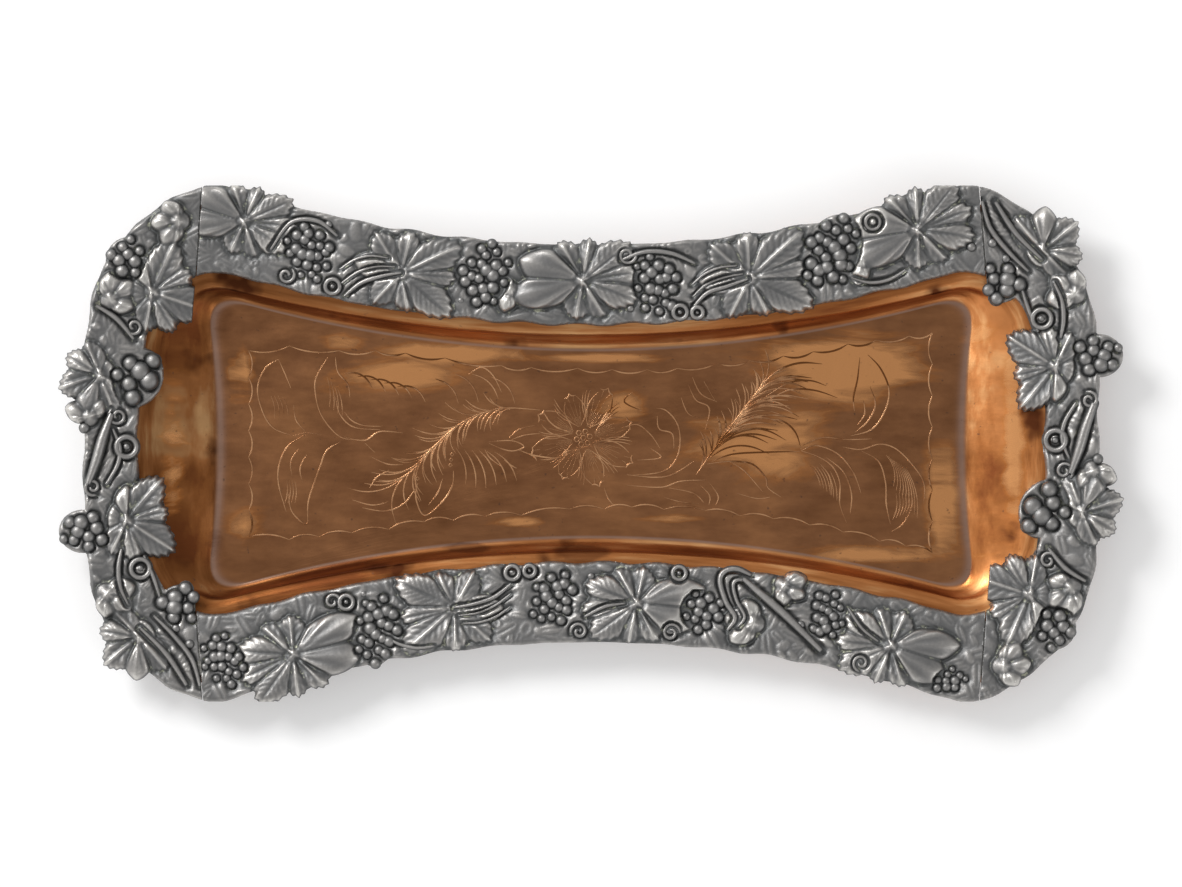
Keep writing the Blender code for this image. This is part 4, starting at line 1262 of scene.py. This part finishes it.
grounds = {}
for side, span in SPANS.items():
    ground = Ground(span)
    height, relief, outline = border_relief(ground, side, FILLER_SEEDS[side])
    mesh = casting_mesh(side + "_casting", ground, height, relief, outline)
    mesh.materials.append(silver)
    piece = object_of(mesh, side + "_casting")
    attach(piece, "root")
    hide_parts(side + "_border")
    grounds[side] = ground


# %% [markdown]
# ## Grapes
# A grape is the same flattened ball over and over, at a size and a place of its own, which is what
# instancing is for. The points carry each grape's radius, a node tree puts a ball of about a hundred
# faces on every point, and Realize Instances turns them into a mesh. The tree also writes how far up the
# ball each point of it faces, as the same "relief" attribute that the castings have, so that grapes are
# painted lighter on top and darker towards their feet, as light from above would shade them.

# %% A tree for things that sit on points
def new_tree(name, sizes):
    """A Geometry Nodes tree with named inputs. Returns the tree and its inputs' sockets."""
    tree = bpy.data.node_groups.new(name, "GeometryNodeTree")
    tree.interface.new_socket(name="Geometry", in_out="INPUT", socket_type="NodeSocketGeometry")
    for label, kind in sizes.items():
        tree.interface.new_socket(name=label, in_out="INPUT", socket_type="NodeSocket" + kind)
    tree.interface.new_socket(name="Geometry", in_out="OUTPUT", socket_type="NodeSocketGeometry")
    return tree, add(tree, "NodeGroupInput").outputs


def apply_tree(thing, tree, values):
    """Puts the tree on an object, with its inputs set by their identifiers."""
    modifier = thing.modifiers.new(tree.name, "NODES")
    modifier.node_group = tree
    for item in tree.interface.items_tree:
        if item.name in values:
            modifier[item.identifier] = values[item.name]


def store_painted_top_light(tree, geometry, low, high):
    """Writes how far up each point faces as the relief attribute, from low at the sides to high on top:
    painted light from above, lighter on top and darker at the sides.
    """
    up = axis_of(tree, add(tree, "GeometryNodeInputNormal").outputs[0], "Z")
    level = rescaled(tree, up, (-0.1, 1.0), (low, high))
    inputs = {"Geometry": geometry, "Name": "relief", "Value": level}
    return add(tree, "GeometryNodeStoreNamedAttribute", inputs, data_type="FLOAT", domain="POINT").outputs[0]


def end_tree(tree, geometry, material):
    """Makes what a tree has built into a plain mesh, gives it its material and sends it out."""
    made = add(tree, "GeometryNodeRealizeInstances", {"Geometry": geometry}).outputs[0]
    made = add(tree, "GeometryNodeSetMaterial", {"Geometry": made, "Material": material}).outputs[0]
    add(tree, "NodeGroupOutput", {0: made})


GRAPE_SIZES = {"Sides": "Int", "Rings": "Int", "Flatness": "Float", "Material": "Material"}
grape_tree, sizes = new_tree("grapes_on_points", GRAPE_SIZES)
ball = add(grape_tree, "GeometryNodeMeshUVSphere", {"Segments": sizes["Sides"], "Rings": sizes["Rings"]})
# Painted light from above on every grape: lighter on top, darker at its foot.
ball = store_painted_top_light(grape_tree, ball.outputs[0], 0.08, 0.66)
ball = add(grape_tree, "GeometryNodeSetShadeSmooth", {"Geometry": ball}).outputs[0]
radius = add(grape_tree, "GeometryNodeInputNamedAttribute", {"Name": "radius"}, data_type="FLOAT").outputs[0]
flat = combine(grape_tree, "MULTIPLY", radius, sizes["Flatness"])
scale = add(grape_tree, "ShaderNodeCombineXYZ", {0: radius, 1: radius, 2: flat}).outputs[0]
inputs = {"Points": sizes["Geometry"], "Instance": ball, "Scale": scale}
grapes = add(grape_tree, "GeometryNodeInstanceOnPoints", inputs).outputs[0]
end_tree(grape_tree, grapes, sizes["Material"])

# %% Grapes on each border
BERRY_SIDES, BERRY_RINGS = 14, 8
BERRY_SINK = 0.3  # how far a grape stands clear of where it would just rest
LEAST_LIFT = CASTING - 0.9  # a small grape isn't let in deeper than this
BEAD_SHARE = 0.4  # the bead in a curl's middle, as a share of the curl
# Single beads between the motifs, as shares along and across, then a radius.
LONE_BEADS = {
    "back": [
        (0.335, 0.22, 1.1), (0.55, 0.20, 1.2), (0.845, 0.80, 1.3), (0.17, 0.88, 1.2), (0.985, 0.30, 1.5),
    ],
    "front": [
        (0.235, 0.55, 1.3), (0.41, 0.28, 1.1), (0.79, 0.14, 1.1), (0.10, 0.16, 1.2), (0.50, 0.18, 1.2),
    ],
    "right": [
        (0.02, 0.42, 1.5), (0.05, 0.34, 1.4), (0.555, 0.95, 1.8), (0.525, 0.98, 1.7), (0.76, 0.85, 1.4),
    ],
}
LONE_BEADS["left"] = LONE_BEADS["right"]


def grape_points(ground, side):
    """Where every grape and bead of a border is, and its radius, in millimetres."""
    _, bunches, stems = MOTIFS[side]
    spots = []
    for bunch in bunches:
        for forwards, outwards, radius in berries(bunch):
            spots.append((*ground.placed(bunch, forwards, outwards), radius))
    for motif in stems:
        if motif.closed:
            size = math.hypot(*motif.points[0])
            spots.append((*ground.placed(motif, 0, 0), size * BEAD_SHARE))
    for along, across, radius in LONE_BEADS[side]:
        spot, _ = ground.on_band(along, across)
        spots.append((*spot, radius))
    return spots


for side, ground in grounds.items():
    points, radii = [], []
    for x, y, radius in grape_points(ground, side):
        lift = max(radius * BERRY_FLATNESS, LEAST_LIFT)
        points.append((x, y, ground.sample(ground.seat, x, y) + SEAT_GAP + BERRY_SINK + lift))
        radii.append(radius)
    mesh = bpy.data.meshes.new(side + "_grape_points")
    mesh.from_pydata(mm(np.array(points)).tolist(), [], [])
    set_attribute(mesh, "radius", mm(np.array(radii)))
    thing = object_of(mesh, side + "_grape_points")
    values = {"Sides": BERRY_SIDES, "Rings": BERRY_RINGS, "Flatness": BERRY_FLATNESS, "Material": silver}
    apply_tree(thing, grape_tree, values)
    piece = finished(thing, side + "_grapes", silver)
    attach(piece, "root")


# %% [markdown]
# ## Stems and tendrils
# A stem is a rod bent along a path. Its few points are listed. A second tree rounds them into a
# smooth curve, samples it evenly and sweeps a many-sided section along it, thinner where the point's
# radius is. The same tree, with other sizes, will draw the engraving further down.

# %% A tree that sweeps a rod along a path
SWEEP_SIZES = {"Step": "Float", "Sides": "Int", "Low": "Float", "High": "Float", "Material": "Material"}
sweep_tree, sizes = new_tree("rod_along_path", SWEEP_SIZES)
kind = "CATMULL_ROM"
line = add(sweep_tree, "GeometryNodeCurveSplineType", {0: sizes["Geometry"]}, spline_type=kind).outputs[0]
inputs = {"Curve": line, "Length": sizes["Step"]}
line = add(sweep_tree, "GeometryNodeResampleCurve", inputs, mode="LENGTH").outputs[0]
inputs = {"Resolution": sizes["Sides"], "Radius": 1.0}
section = add(sweep_tree, "GeometryNodeCurvePrimitiveCircle", inputs).outputs[0]
thickness = add(sweep_tree, "GeometryNodeInputRadius").outputs[0]
inputs = {"Curve": line, "Profile Curve": section, "Scale": thickness, "Fill Caps": True}
rod = add(sweep_tree, "GeometryNodeCurveToMesh", inputs).outputs[0]
# Painted light from above: the rod's relief is lower at its sides and higher on top.
rod = store_painted_top_light(sweep_tree, rod, sizes["Low"], sizes["High"])
rod = add(sweep_tree, "GeometryNodeSetShadeSmooth", {"Geometry": rod}).outputs[0]
end_tree(sweep_tree, rod, sizes["Material"])


def tapered(count, radius, end_share):
    """A radius for each of a path's points, thinner at both ends."""
    return [radius * (end_share if k in (0, count - 1) else 1) for k in range(count)]


def curves_of(name, paths):
    """A curve object from paths of (points, radii, closed), in millimetres."""
    data = bpy.data.curves.new(name, "CURVE")
    data.dimensions = "3D"
    for points, radii, closed in paths:
        line = data.splines.new("POLY")
        line.points.add(len(points) - 1)
        line.use_cyclic_u = closed
        for point, spot, radius in zip(line.points, points, radii):
            point.co = (*[mm(float(c)) for c in spot], 1.0)
            point.radius = mm(radius)
    return object_of(data, name)


# %% Stems and tendrils on each border
STEM_TAPER = 0.6  # how thick a stem's ends are, as a share of its middle
STEM_LIFT = 0.15  # how far a stem's middle lies above the casting's face, in radii

for side, ground in grounds.items():
    paths = []
    for motif in MOTIFS[side][2]:
        spots = [ground.placed(motif, x, y) for x, y in motif.points]
        height = SEAT_GAP + CASTING + STEM_LIFT * motif.radius
        points = [(x, y, ground.sample(ground.seat, x, y) + height) for x, y in spots]
        radii = tapered(len(points), motif.radius, 1 if motif.closed else STEM_TAPER)
        paths.append((points, radii, motif.closed))
    thing = curves_of(side + "_stem_paths", paths)
    # Low and High set the stems' painted light: darker at their sides, lighter on top.
    values = {"Step": mm(0.6), "Sides": 10, "Low": 0.10, "High": 0.74, "Material": silver}
    apply_tree(thing, sweep_tree, values)
    piece = finished(thing, side + "_stems", silver)
    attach(piece, "root")


# %% [markdown]
# ## The engraving
# The floor is engraved by hand with a scalloped border line, a flower in the middle, and sprays and
# scrolls of leaves at both sides. A graver pushes up a thin burr along each cut, and that is what catches
# the light, so each cut is drawn as a very low, narrow ridge that is widest in its middle and thin at its
# ends. Cutting hundreds of grooves in the floor itself would need a mesh far finer than the tray is
# worth. The cuts are written as strokes through a few points, and what repeats, such as petals, barbs and
# scallops, as loops.

# %% Strokes
CUTS = []
CUT_WIDTH = 0.55
ARC_SHARES = (0, 0.25, 0.5, 0.75, 1)


def cut(*points, width=CUT_WIDTH):
    """One cut of the graver through points on the floor, in millimetres."""
    CUTS.append((points, width))


def arc(start, stop, bulge, width=CUT_WIDTH):
    """A cut that bows to the left of its way by this much, or to the right if it is negative."""
    (x0, y0), (x1, y1) = start, stop
    length = math.hypot(x1 - x0, y1 - y0) or 1
    side = (-(y1 - y0) / length, (x1 - x0) / length)
    points = []
    for share in ARC_SHARES:
        out = bulge * 4 * share * (1 - share)
        points.append((x0 + (x1 - x0) * share + side[0] * out, y0 + (y1 - y0) * share + side[1] * out))
    cut(*points, width=width)


def spot_on(points, share):
    """The point this share of the way along a few, and the direction there."""
    path = smooth_path(points, False)
    i = min(int(share * (len(path) - 1)), len(path) - 2)
    step = path[i + 1] - path[i]
    return path[i], math.atan2(step[1], step[0])


def barbs(spine, count, turn, lengths, bulge, shares=(0.05, 0.95), width=CUT_WIDTH):
    """Cuts that leave a spine at a turn from its direction, from the first length to the last."""
    for k in range(count):
        t = k / (count - 1)
        spot, heading = spot_on(spine, shares[0] + (shares[1] - shares[0]) * t)
        length = lengths[0] + (lengths[1] - lengths[0]) * t
        length *= 1 + 0.13 * math.sin(2.4 * k)
        angle = heading + math.radians(turn + 6 * math.sin(1.7 * k))
        tip = (spot[0] + length * math.cos(angle), spot[1] + length * math.sin(angle))
        arc(tuple(spot), tip, bulge * length, width)


# %% The scalloped border line
BACK_CUSPS = [
    (-103, 28), (-91, 29.4), (-76, 28), (-65, 28), (-56, 27.3), (-44, 25.8), (-27, 23.5), (-18, 22.9),
    (-4, 22.7), (6.4, 22.3), (17, 22.3), (26, 22.7), (38, 24.2), (48, 25), (58, 26.4), (67, 27.7),
    (77.5, 30), (86, 31.2), (96, 32.4), (103, 33.4),
]
FRONT_CUSPS = [
    (103, -33), (95, -31), (87, -29.5), (76, -26.7), (66, -24.6), (55, -22.7), (45, -21.9), (34.5, -20.2),
    (22, -19.9), (12.4, -19.2), (4, -19.9), (-6.3, -19.8), (-21, -21.7), (-32, -22), (-41.5, -23.2),
    (-50.4, -23.6), (-61, -25.9), (-72, -27), (-82, -28.2), (-91, -29), (-103.5, -28.2),
]
SCALLOP = -1.1  # how far each scallop bows
END_SCALLOPS = 7
RIGHT_END, LEFT_END = (103, -33, 33.4), (-103.3, -28.2, 28)  # x, then the first and last y

for cusps in (BACK_CUSPS, FRONT_CUSPS):
    for start, stop in zip(cusps, cusps[1:]):
        arc(start, stop, SCALLOP)
for x, low, high in (RIGHT_END, LEFT_END):
    levels = [high + (low - high) * k / END_SCALLOPS for k in range(END_SCALLOPS + 1)]
    if x < 0:
        levels.reverse()
    for a, b in zip(levels, levels[1:]):
        arc((x, a), (x, b), SCALLOP)

# %% The flower
FLOWER = (-2.3, 1.7)
PETALS = 8
PETAL_LENGTH = 15.5


def ringlet(x, y, radius):
    """A small ring."""
    turns = [2 * math.pi * k / 6 for k in range(7)]
    cut(*[(x + radius * math.cos(t), y + radius * math.sin(t)) for t in turns], width=0.4)


def polar(angle, radius):
    """A point this far from the middle of the flower, by degrees."""
    turn = math.radians(angle)
    return FLOWER[0] + radius * math.cos(turn), FLOWER[1] + radius * math.sin(turn)


ringlet(*FLOWER, 0.8)
for k in range(6):
    ringlet(*polar(60 * k + 12, 2.0), 0.8)
for k in range(PETALS):
    middle = 360 * k / PETALS + 18
    reach = PETAL_LENGTH + 1.6 * math.sin(2.1 * k)
    arc(polar(middle - 9, 4.0), polar(middle - 7, reach * 0.93), -2.2, 0.42)
    arc(polar(middle + 9, 4.0), polar(middle + 9, reach * 0.86), 1.7, 0.42)
    arc(polar(middle - 8, reach * 0.93), polar(middle, reach), 0.5)
    arc(polar(middle + 8, reach * 0.93), polar(middle, reach), -0.5)
    for k_ray in range(7):
        lean = -9 + 3 * k_ray
        stop = reach * (0.62 + 0.16 * math.sin(3.1 * k_ray + k))
        cut(polar(middle + lean, 3.6), polar(middle + lean * 1.25, stop), width=0.34)
    for k_ray in range(3):
        lean = 15 + 4 * k_ray
        arc(polar(middle + lean, 6.4), polar(middle + lean + 4, 13.4 + 1.3 * math.sin(k + k_ray)), 0.5, 0.36)
    cut(polar(middle - 3, reach * 0.8), polar(middle - 4, reach * 0.92), width=0.4)
    cut(polar(middle + 3, reach * 0.8), polar(middle + 4, reach * 0.93), width=0.4)

# %% The left side: a bud, a feathered spray and scrolls
LEFT_SPINE = [
    (-15.5, 10.1), (-25.5, 10.8), (-30.8, 9.7), (-37.7, 7.0), (-43.8, 2.4), (-50.0, -3.7), (-56.1, -9.8),
]
cut(*LEFT_SPINE, width=0.6)
cut((-14.2, 9.4), (-12.6, 6.8), (-9.8, 4.6), (-6.0, 3.4))
barbs(LEFT_SPINE, 15, -26, (10, 17), 0.16, (0.18, 0.98), 0.5)
barbs(LEFT_SPINE, 13, -34, (6, 11), 0.14, (0.22, 0.95), 0.4)
barbs(LEFT_SPINE, 15, 38, (9, 14), -0.18, (0.15, 0.98), 0.5)
barbs(LEFT_SPINE, 10, 54, (6, 9), -0.16, (0.2, 0.9), 0.4)
for k in range(5):
    x, y = -50.0 - 4.0 * k, 12.6 + 1.0 * k
    arc((x - 8.4, y + 4.6), (x, y), 2.0, 0.5)
for start, tip in (
    [(-30, 20), (-23, 12)],
    [(-36, 21), (-28, 13.5)],
    [(-41, 21), (-34, 12.5)],
    [(-47, 19.5), (-40, 12)],
):
    arc(start, tip, 1.7, 0.5)
cut((-37.0, 20.8), (-33.0, 23.0), (-29.5, 20.5), (-27.0, 15.5))
cut(
    (-30.8, 0.5), (-25.5, 0.9), (-22.4, 0.5), (-20.1, -1.0), (-23.0, -2.2), (-26.3, -1.8), (-30.8, 0.1),
    width=0.5,
)
cut((-21.6, -2.0), (-17.0, -3.6), (-10.2, -4.4), (-6.3, -2.9), width=0.6)
cut((-24.7, 1.7), (-21.6, 4.3), (-17.0, 5.5))
cut((-24.0, 1.2), (-19.6, 2.6), (-15.4, 3.0))
cut((-32.0, -1.8), (-30.4, -4.4), (-26.9, -7.0))
cut((-26.2, -4.9), (-24.0, -6.6), (-22.4, -7.5))
for k in range(6):
    arc((-40.6 + 2.3 * k, -1.5 - 0.2 * k), (-37.9 + 3.1 * k, -12.4 - 1.2 * math.sin(k)), 1.3, 0.5)
for x, y in ((-41.9, -3.3), (-42.2, -4.9), (-42.4, -6.5), (-52.3, -10.6)):
    ringlet(x, y, 0.55)
cut((-52.3, -12.0), (-52.8, -16.5), (-50.3, -21.7), (-45.4, -18.2), (-41.9, -12.9), (-41.5, -8.3))
cut((-49.0, -18.5), (-46.2, -14.8), (-44.8, -10.6))
cut((-69.0, -19.4), (-62.0, -20.4), (-56.5, -18.2), (-53.0, -13.6))
cut((-72.0, -17.0), (-66.0, -18.6), (-61.0, -17.6))
cut((-66.8, -13.4), (-64.6, -10.2), (-61.0, -8.2))

cut((-89.7, 2.3), (-85.9, 3.2), (-81.3, 2.6), width=0.55)
cut((-74.4, 2.0), (-68.3, 0.9), (-63.7, 3.6), (-56.8, 3.2), width=0.55)
cut((-68.3, 0.2), (-65.3, -2.6))
cut((-66.4, -4.0), (-61.4, -6.2), (-56.8, -6.4))
for points in (
    [(-94.3, 25.4), (-98.2, 22.8), (-100.6, 17.0), (-99.3, 10.1), (-95.9, 4.7), (-89.7, 2.3)],
    [(-94.3, 25.4), (-92.2, 20.8), (-90.5, 16.6)],
    [(-89.7, 11.6), (-89.0, 7.0), (-85.9, 3.4)],
    [(-79.4, 26.0), (-82.9, 20.0), (-83.2, 15.4), (-81.7, 9.3), (-78.3, 4.3), (-74.4, 1.5), (-68.3, 1.1)],
    [(-77.1, 26.0), (-76.4, 21.6), (-73.3, 17.7), (-72.8, 13.9)],
    [(-77.1, 13.9), (-75.6, 8.6), (-71.4, 4.9), (-63.7, 4.2)],
    [(-74.4, 9.6), (-72.1, 6.9), (-68.3, 5.4), (-63.0, 5.2)],
    [(-85.9, 2.8), (-91.3, -0.6), (-94.0, -6.0), (-94.3, -12.1), (-92.0, -20.5)],
    [(-91.3, -15.2), (-90.2, -20.6), (-85.9, -24.4), (-85.5, -20.0)],
    [(-75.6, 0.5), (-79.8, -2.2), (-81.7, -6.8), (-83.6, -12.1), (-85.3, -17.5), (-85.5, -22.6)],
    [(-88.2, -1.6), (-90.6, -5.4), (-90.2, -9.8)],
    [(-85.8, -3.4), (-87.8, -7.4), (-87.0, -11.8)],
):
    cut(*points, width=0.5)
for k in range(4):
    arc((-96.6 + 1.1 * k, 14.4), (-95.6 + 1.4 * k, 7.4), 0.6, 0.3)
    arc((-91.8 + 0.8 * k, -11.0), (-92.4 + 1.0 * k, -18.0), 0.5, 0.3)
    arc((-79.6 + 1.0 * k, 20.0 - k), (-79.0 + 1.3 * k, 11.0 - k), 0.6, 0.3)

# %% The right side: a feathered spray, an oval leaf and scrolls
RIGHT_SPINE = [(31.7, -9.4), (35.7, -3.8), (40.5, 2.7), (45.3, 9.1), (50.2, 15.5), (53.4, 21.0)]
cut(*RIGHT_SPINE, width=0.6)
barbs(RIGHT_SPINE, 12, -32, (23, 19), 0.17, (0.16, 0.84), 0.6)
barbs(RIGHT_SPINE, 10, -48, (19, 15), 0.18, (0.14, 0.8), 0.5)
barbs(RIGHT_SPINE, 8, -18, (15, 12), 0.12, (0.2, 0.86), 0.45)
barbs(RIGHT_SPINE, 15, 36, (9, 8), -0.12, (0.06, 0.96), 0.45)
barbs(RIGHT_SPINE, 9, 50, (6, 5), -0.12, (0.12, 0.9), 0.35)
for points in (
    [(52.6, 12.6), (60.0, 16.2), (67.6, 16.0), (74.3, 13.8)],
    [(52.2, 13.8), (59.4, 18.2), (66.0, 19.0), (71.0, 17.4)],
    [(36.5, -5.4), (42.9, -3.2), (53.4, -2.6), (63.0, -2.4)],
    [(50.2, 7.5), (57.4, 6.9), (61.6, 3.5), (63.4, -1.8)],
    [(34.9, -6.2), (42.1, -5.4), (48.6, -6.2), (52.6, -10.2), (53.4, -13.4), (57.4, -16.2)],
    [(42.1, -5.6), (46.4, -8.4), (51.8, -14.6)],
    [(63.4, -2.2), (67.8, -0.6), (74.3, -3.0), (79.1, -8.6), (81.5, -15.0)],
    [(63.4, -2.2), (68.6, -4.0), (72.9, -7.0), (75.1, -11.8), (75.1, -18.2), (77.1, -23.9)],
    [(69.0, -6.0), (72.0, -10.0), (72.6, -15.6)],
    [(71.0, -4.2), (76.2, -8.6), (78.6, -15.0), (78.2, -21.0)],
    [(75.9, -1.0), (81.5, -1.8), (87.1, -0.2), (92.0, -1.6), (96.8, -6.2), (100.4, -11.8), (100.4, -18.2)],
    [(81.5, -2.2), (86.8, -5.4), (88.9, -11.8), (89.1, -18.2), (90.3, -24.2)],
    [(96.6, -20.0), (94.0, -24.4), (90.6, -26.6)],
    [(83.5, 26.8), (87.3, 22.7), (89.9, 16.3), (88.7, 9.9), (84.7, 4.3), (78.3, 2.3)],
    [(81.1, 26.0), (80.4, 19.5), (79.2, 13.9), (79.5, 9.9)],
    [(84.2, 17.2), (85.8, 11.6), (83.4, 6.6), (79.6, 3.4)],
    [(82.2, 13.0), (82.6, 9.0), (80.4, 5.6)],
    [(63.8, -0.6), (70.0, 1.8), (76.6, 1.2), (84.7, 1.4)],
    [(19.6, 10.7), (22.8, 9.9), (26.1, 5.9), (26.9, 0.2), (25.3, -5.4), (21.2, -8.6), (12.0, -9.6)],
    [(20.0, 8.3), (20.6, 4.4), (24.5, 3.0), (25.0, -1.4)],
    [(9.2, 4.7), (14.0, 5.7), (18.0, 2.7), (20.8, -1.4)],
    [(17.2, -1.0), (21.2, -4.2), (14.0, -5.0)],
    [(12.6, 15.6), (10.0, 12.6), (15.4, 9.8)],
    [(29.3, 17.9), (31.7, 13.1), (35.7, 10.7), (34.5, 4.3)],
    [(30.6, 20.0), (33.2, 15.0), (38.0, 12.6)],
    [(34.1, 18.7), (37.3, 13.1)],
    [(27.2, 13.9), (29.3, 9.1), (33.0, 7.6)],
    [(10.8, -9.4), (18.8, -10.2), (24.5, -9.4), (30.9, -5.4)],
    [(10.8, -12.6), (21.2, -13.2), (27.0, -11.4), (34.9, -11.0)],
    [(23.6, -13.4), (30.9, -15.0), (34.0, -17.8)],
    [(22.0, -16.2), (27.0, -17.6), (32.5, -18.2)],
    [(35.7, -11.8), (38.4, -15.8), (37.6, -18.6)],
    [(33.0, -12.6), (35.8, -15.6), (35.6, -18.4)],
    [(44.0, -15.0), (50.0, -16.6), (54.0, -16.2)],
    [(4.0, -13.4), (5.2, -16.6), (6.8, -18.6)],
):
    cut(*points, width=0.5)
for k in range(9):
    start = (89.0 + 0.75 * k, -3.4 - 0.5 * k)
    arc(start, (91.2 + 0.9 * k, -13.0 - 1.2 * k), 1.4, 0.35)
for k in range(6):
    arc((92.0 + 0.9 * k, -15.0), (91.0 + 1.0 * k, -23.0 + 0.5 * k), 0.8, 0.35)
    arc((65.6 + 1.3 * k, -6.2 - 0.4 * k), (69.2 + 1.0 * k, -12.8 - 0.9 * k), 0.7, 0.3)
print(len(CUTS), "cuts")

# %% [markdown]
# The graver's cuts get a material of their own. On the tarnished floor the burr is lighter than what is
# beside it, as cleaner copper and as a painted highlight, and inside the patches of painted reflection it is
# painted darker than the floor round it. The sweep tree from the stems draws the cuts, with smaller sizes.

# %% Cut copper, along every stroke
END_TAPER = 0.25  # how wide a cut's ends are, as a share of its middle
BURR_FLATNESS = 0.25  # how high a burr stands, as a share of half its width

# Bare copper where the graver has turned it up, dulled with age, painted lighter as a highlight and darker
# inside the patches of painted reflection.
cut_copper, tree, shader = new_material("graver_cut_copper", 1.0, 0.3)
place_on = add(tree, "ShaderNodeTexCoord").outputs["Object"]
worn = noise(tree, place_on, 7, 3, 0.6)
light_cut = ramp(tree, worn, (0.3, "#9c6a46"), (0.6, "#d9a67a"))
# Painted: the cut turns darker inside the floor's patches of painted reflection.
in_patch = ramp(tree, reflection_patch_edge(tree, place_on), (0.46, 0.0), (0.62, 1.0))
link(tree, shader, Base_Color=mix(tree, in_patch, light_cut, linear("#7a4e2c")))

paths = []
for points, width in CUTS:
    paths.append(([(x, y, 0.0) for x, y in points], tapered(len(points), width / 2, END_TAPER), False))
thing = curves_of("graver_paths", paths)
values = {"Step": mm(0.8), "Sides": 6, "Low": 0.2, "High": 0.8, "Material": cut_copper}
apply_tree(thing, sweep_tree, values)
engraving = finished(thing, "engraved_lines", cut_copper)
for vertex in engraving.data.vertices:
    vertex.co.z = mm(FLOOR_TOP) + vertex.co.z * BURR_FLATNESS
where = np.array([vertex.co for vertex in engraving.data.vertices]) * 1000
set_attribute(engraving.data, "painted_reflection", patches_at(where, REFLECTION_PATCHES))
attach(engraving, "root")


# %% [markdown]
# ## Solder
# Soft solder holds the borders to the rim and fills the corners. It is tin grey, duller than the silver,
# and slightly lumpy from the iron. Its pieces in the frame have the right shape, so they only get this
# material.

# %% Soft solder
# Soft tin solder, grey and slightly lumpy.
solder, tree, shader = new_material("soft_tin_solder", 0.9, 0.5)
place_on = add(tree, "ShaderNodeTexCoord").outputs["Object"]
lumps = noise(tree, place_on, 3, 3, 0.6)
colour = ramp(tree, lumps, (0.35, "#4d4c4a"), (0.65, "#8b8984"))
link(tree, shader, Base_Color=colour, Normal=bump(tree, lumps, 0.3))
for name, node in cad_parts.items():
    if "solder" in name:
        node.data.materials.clear()
        node.data.materials.append(solder)
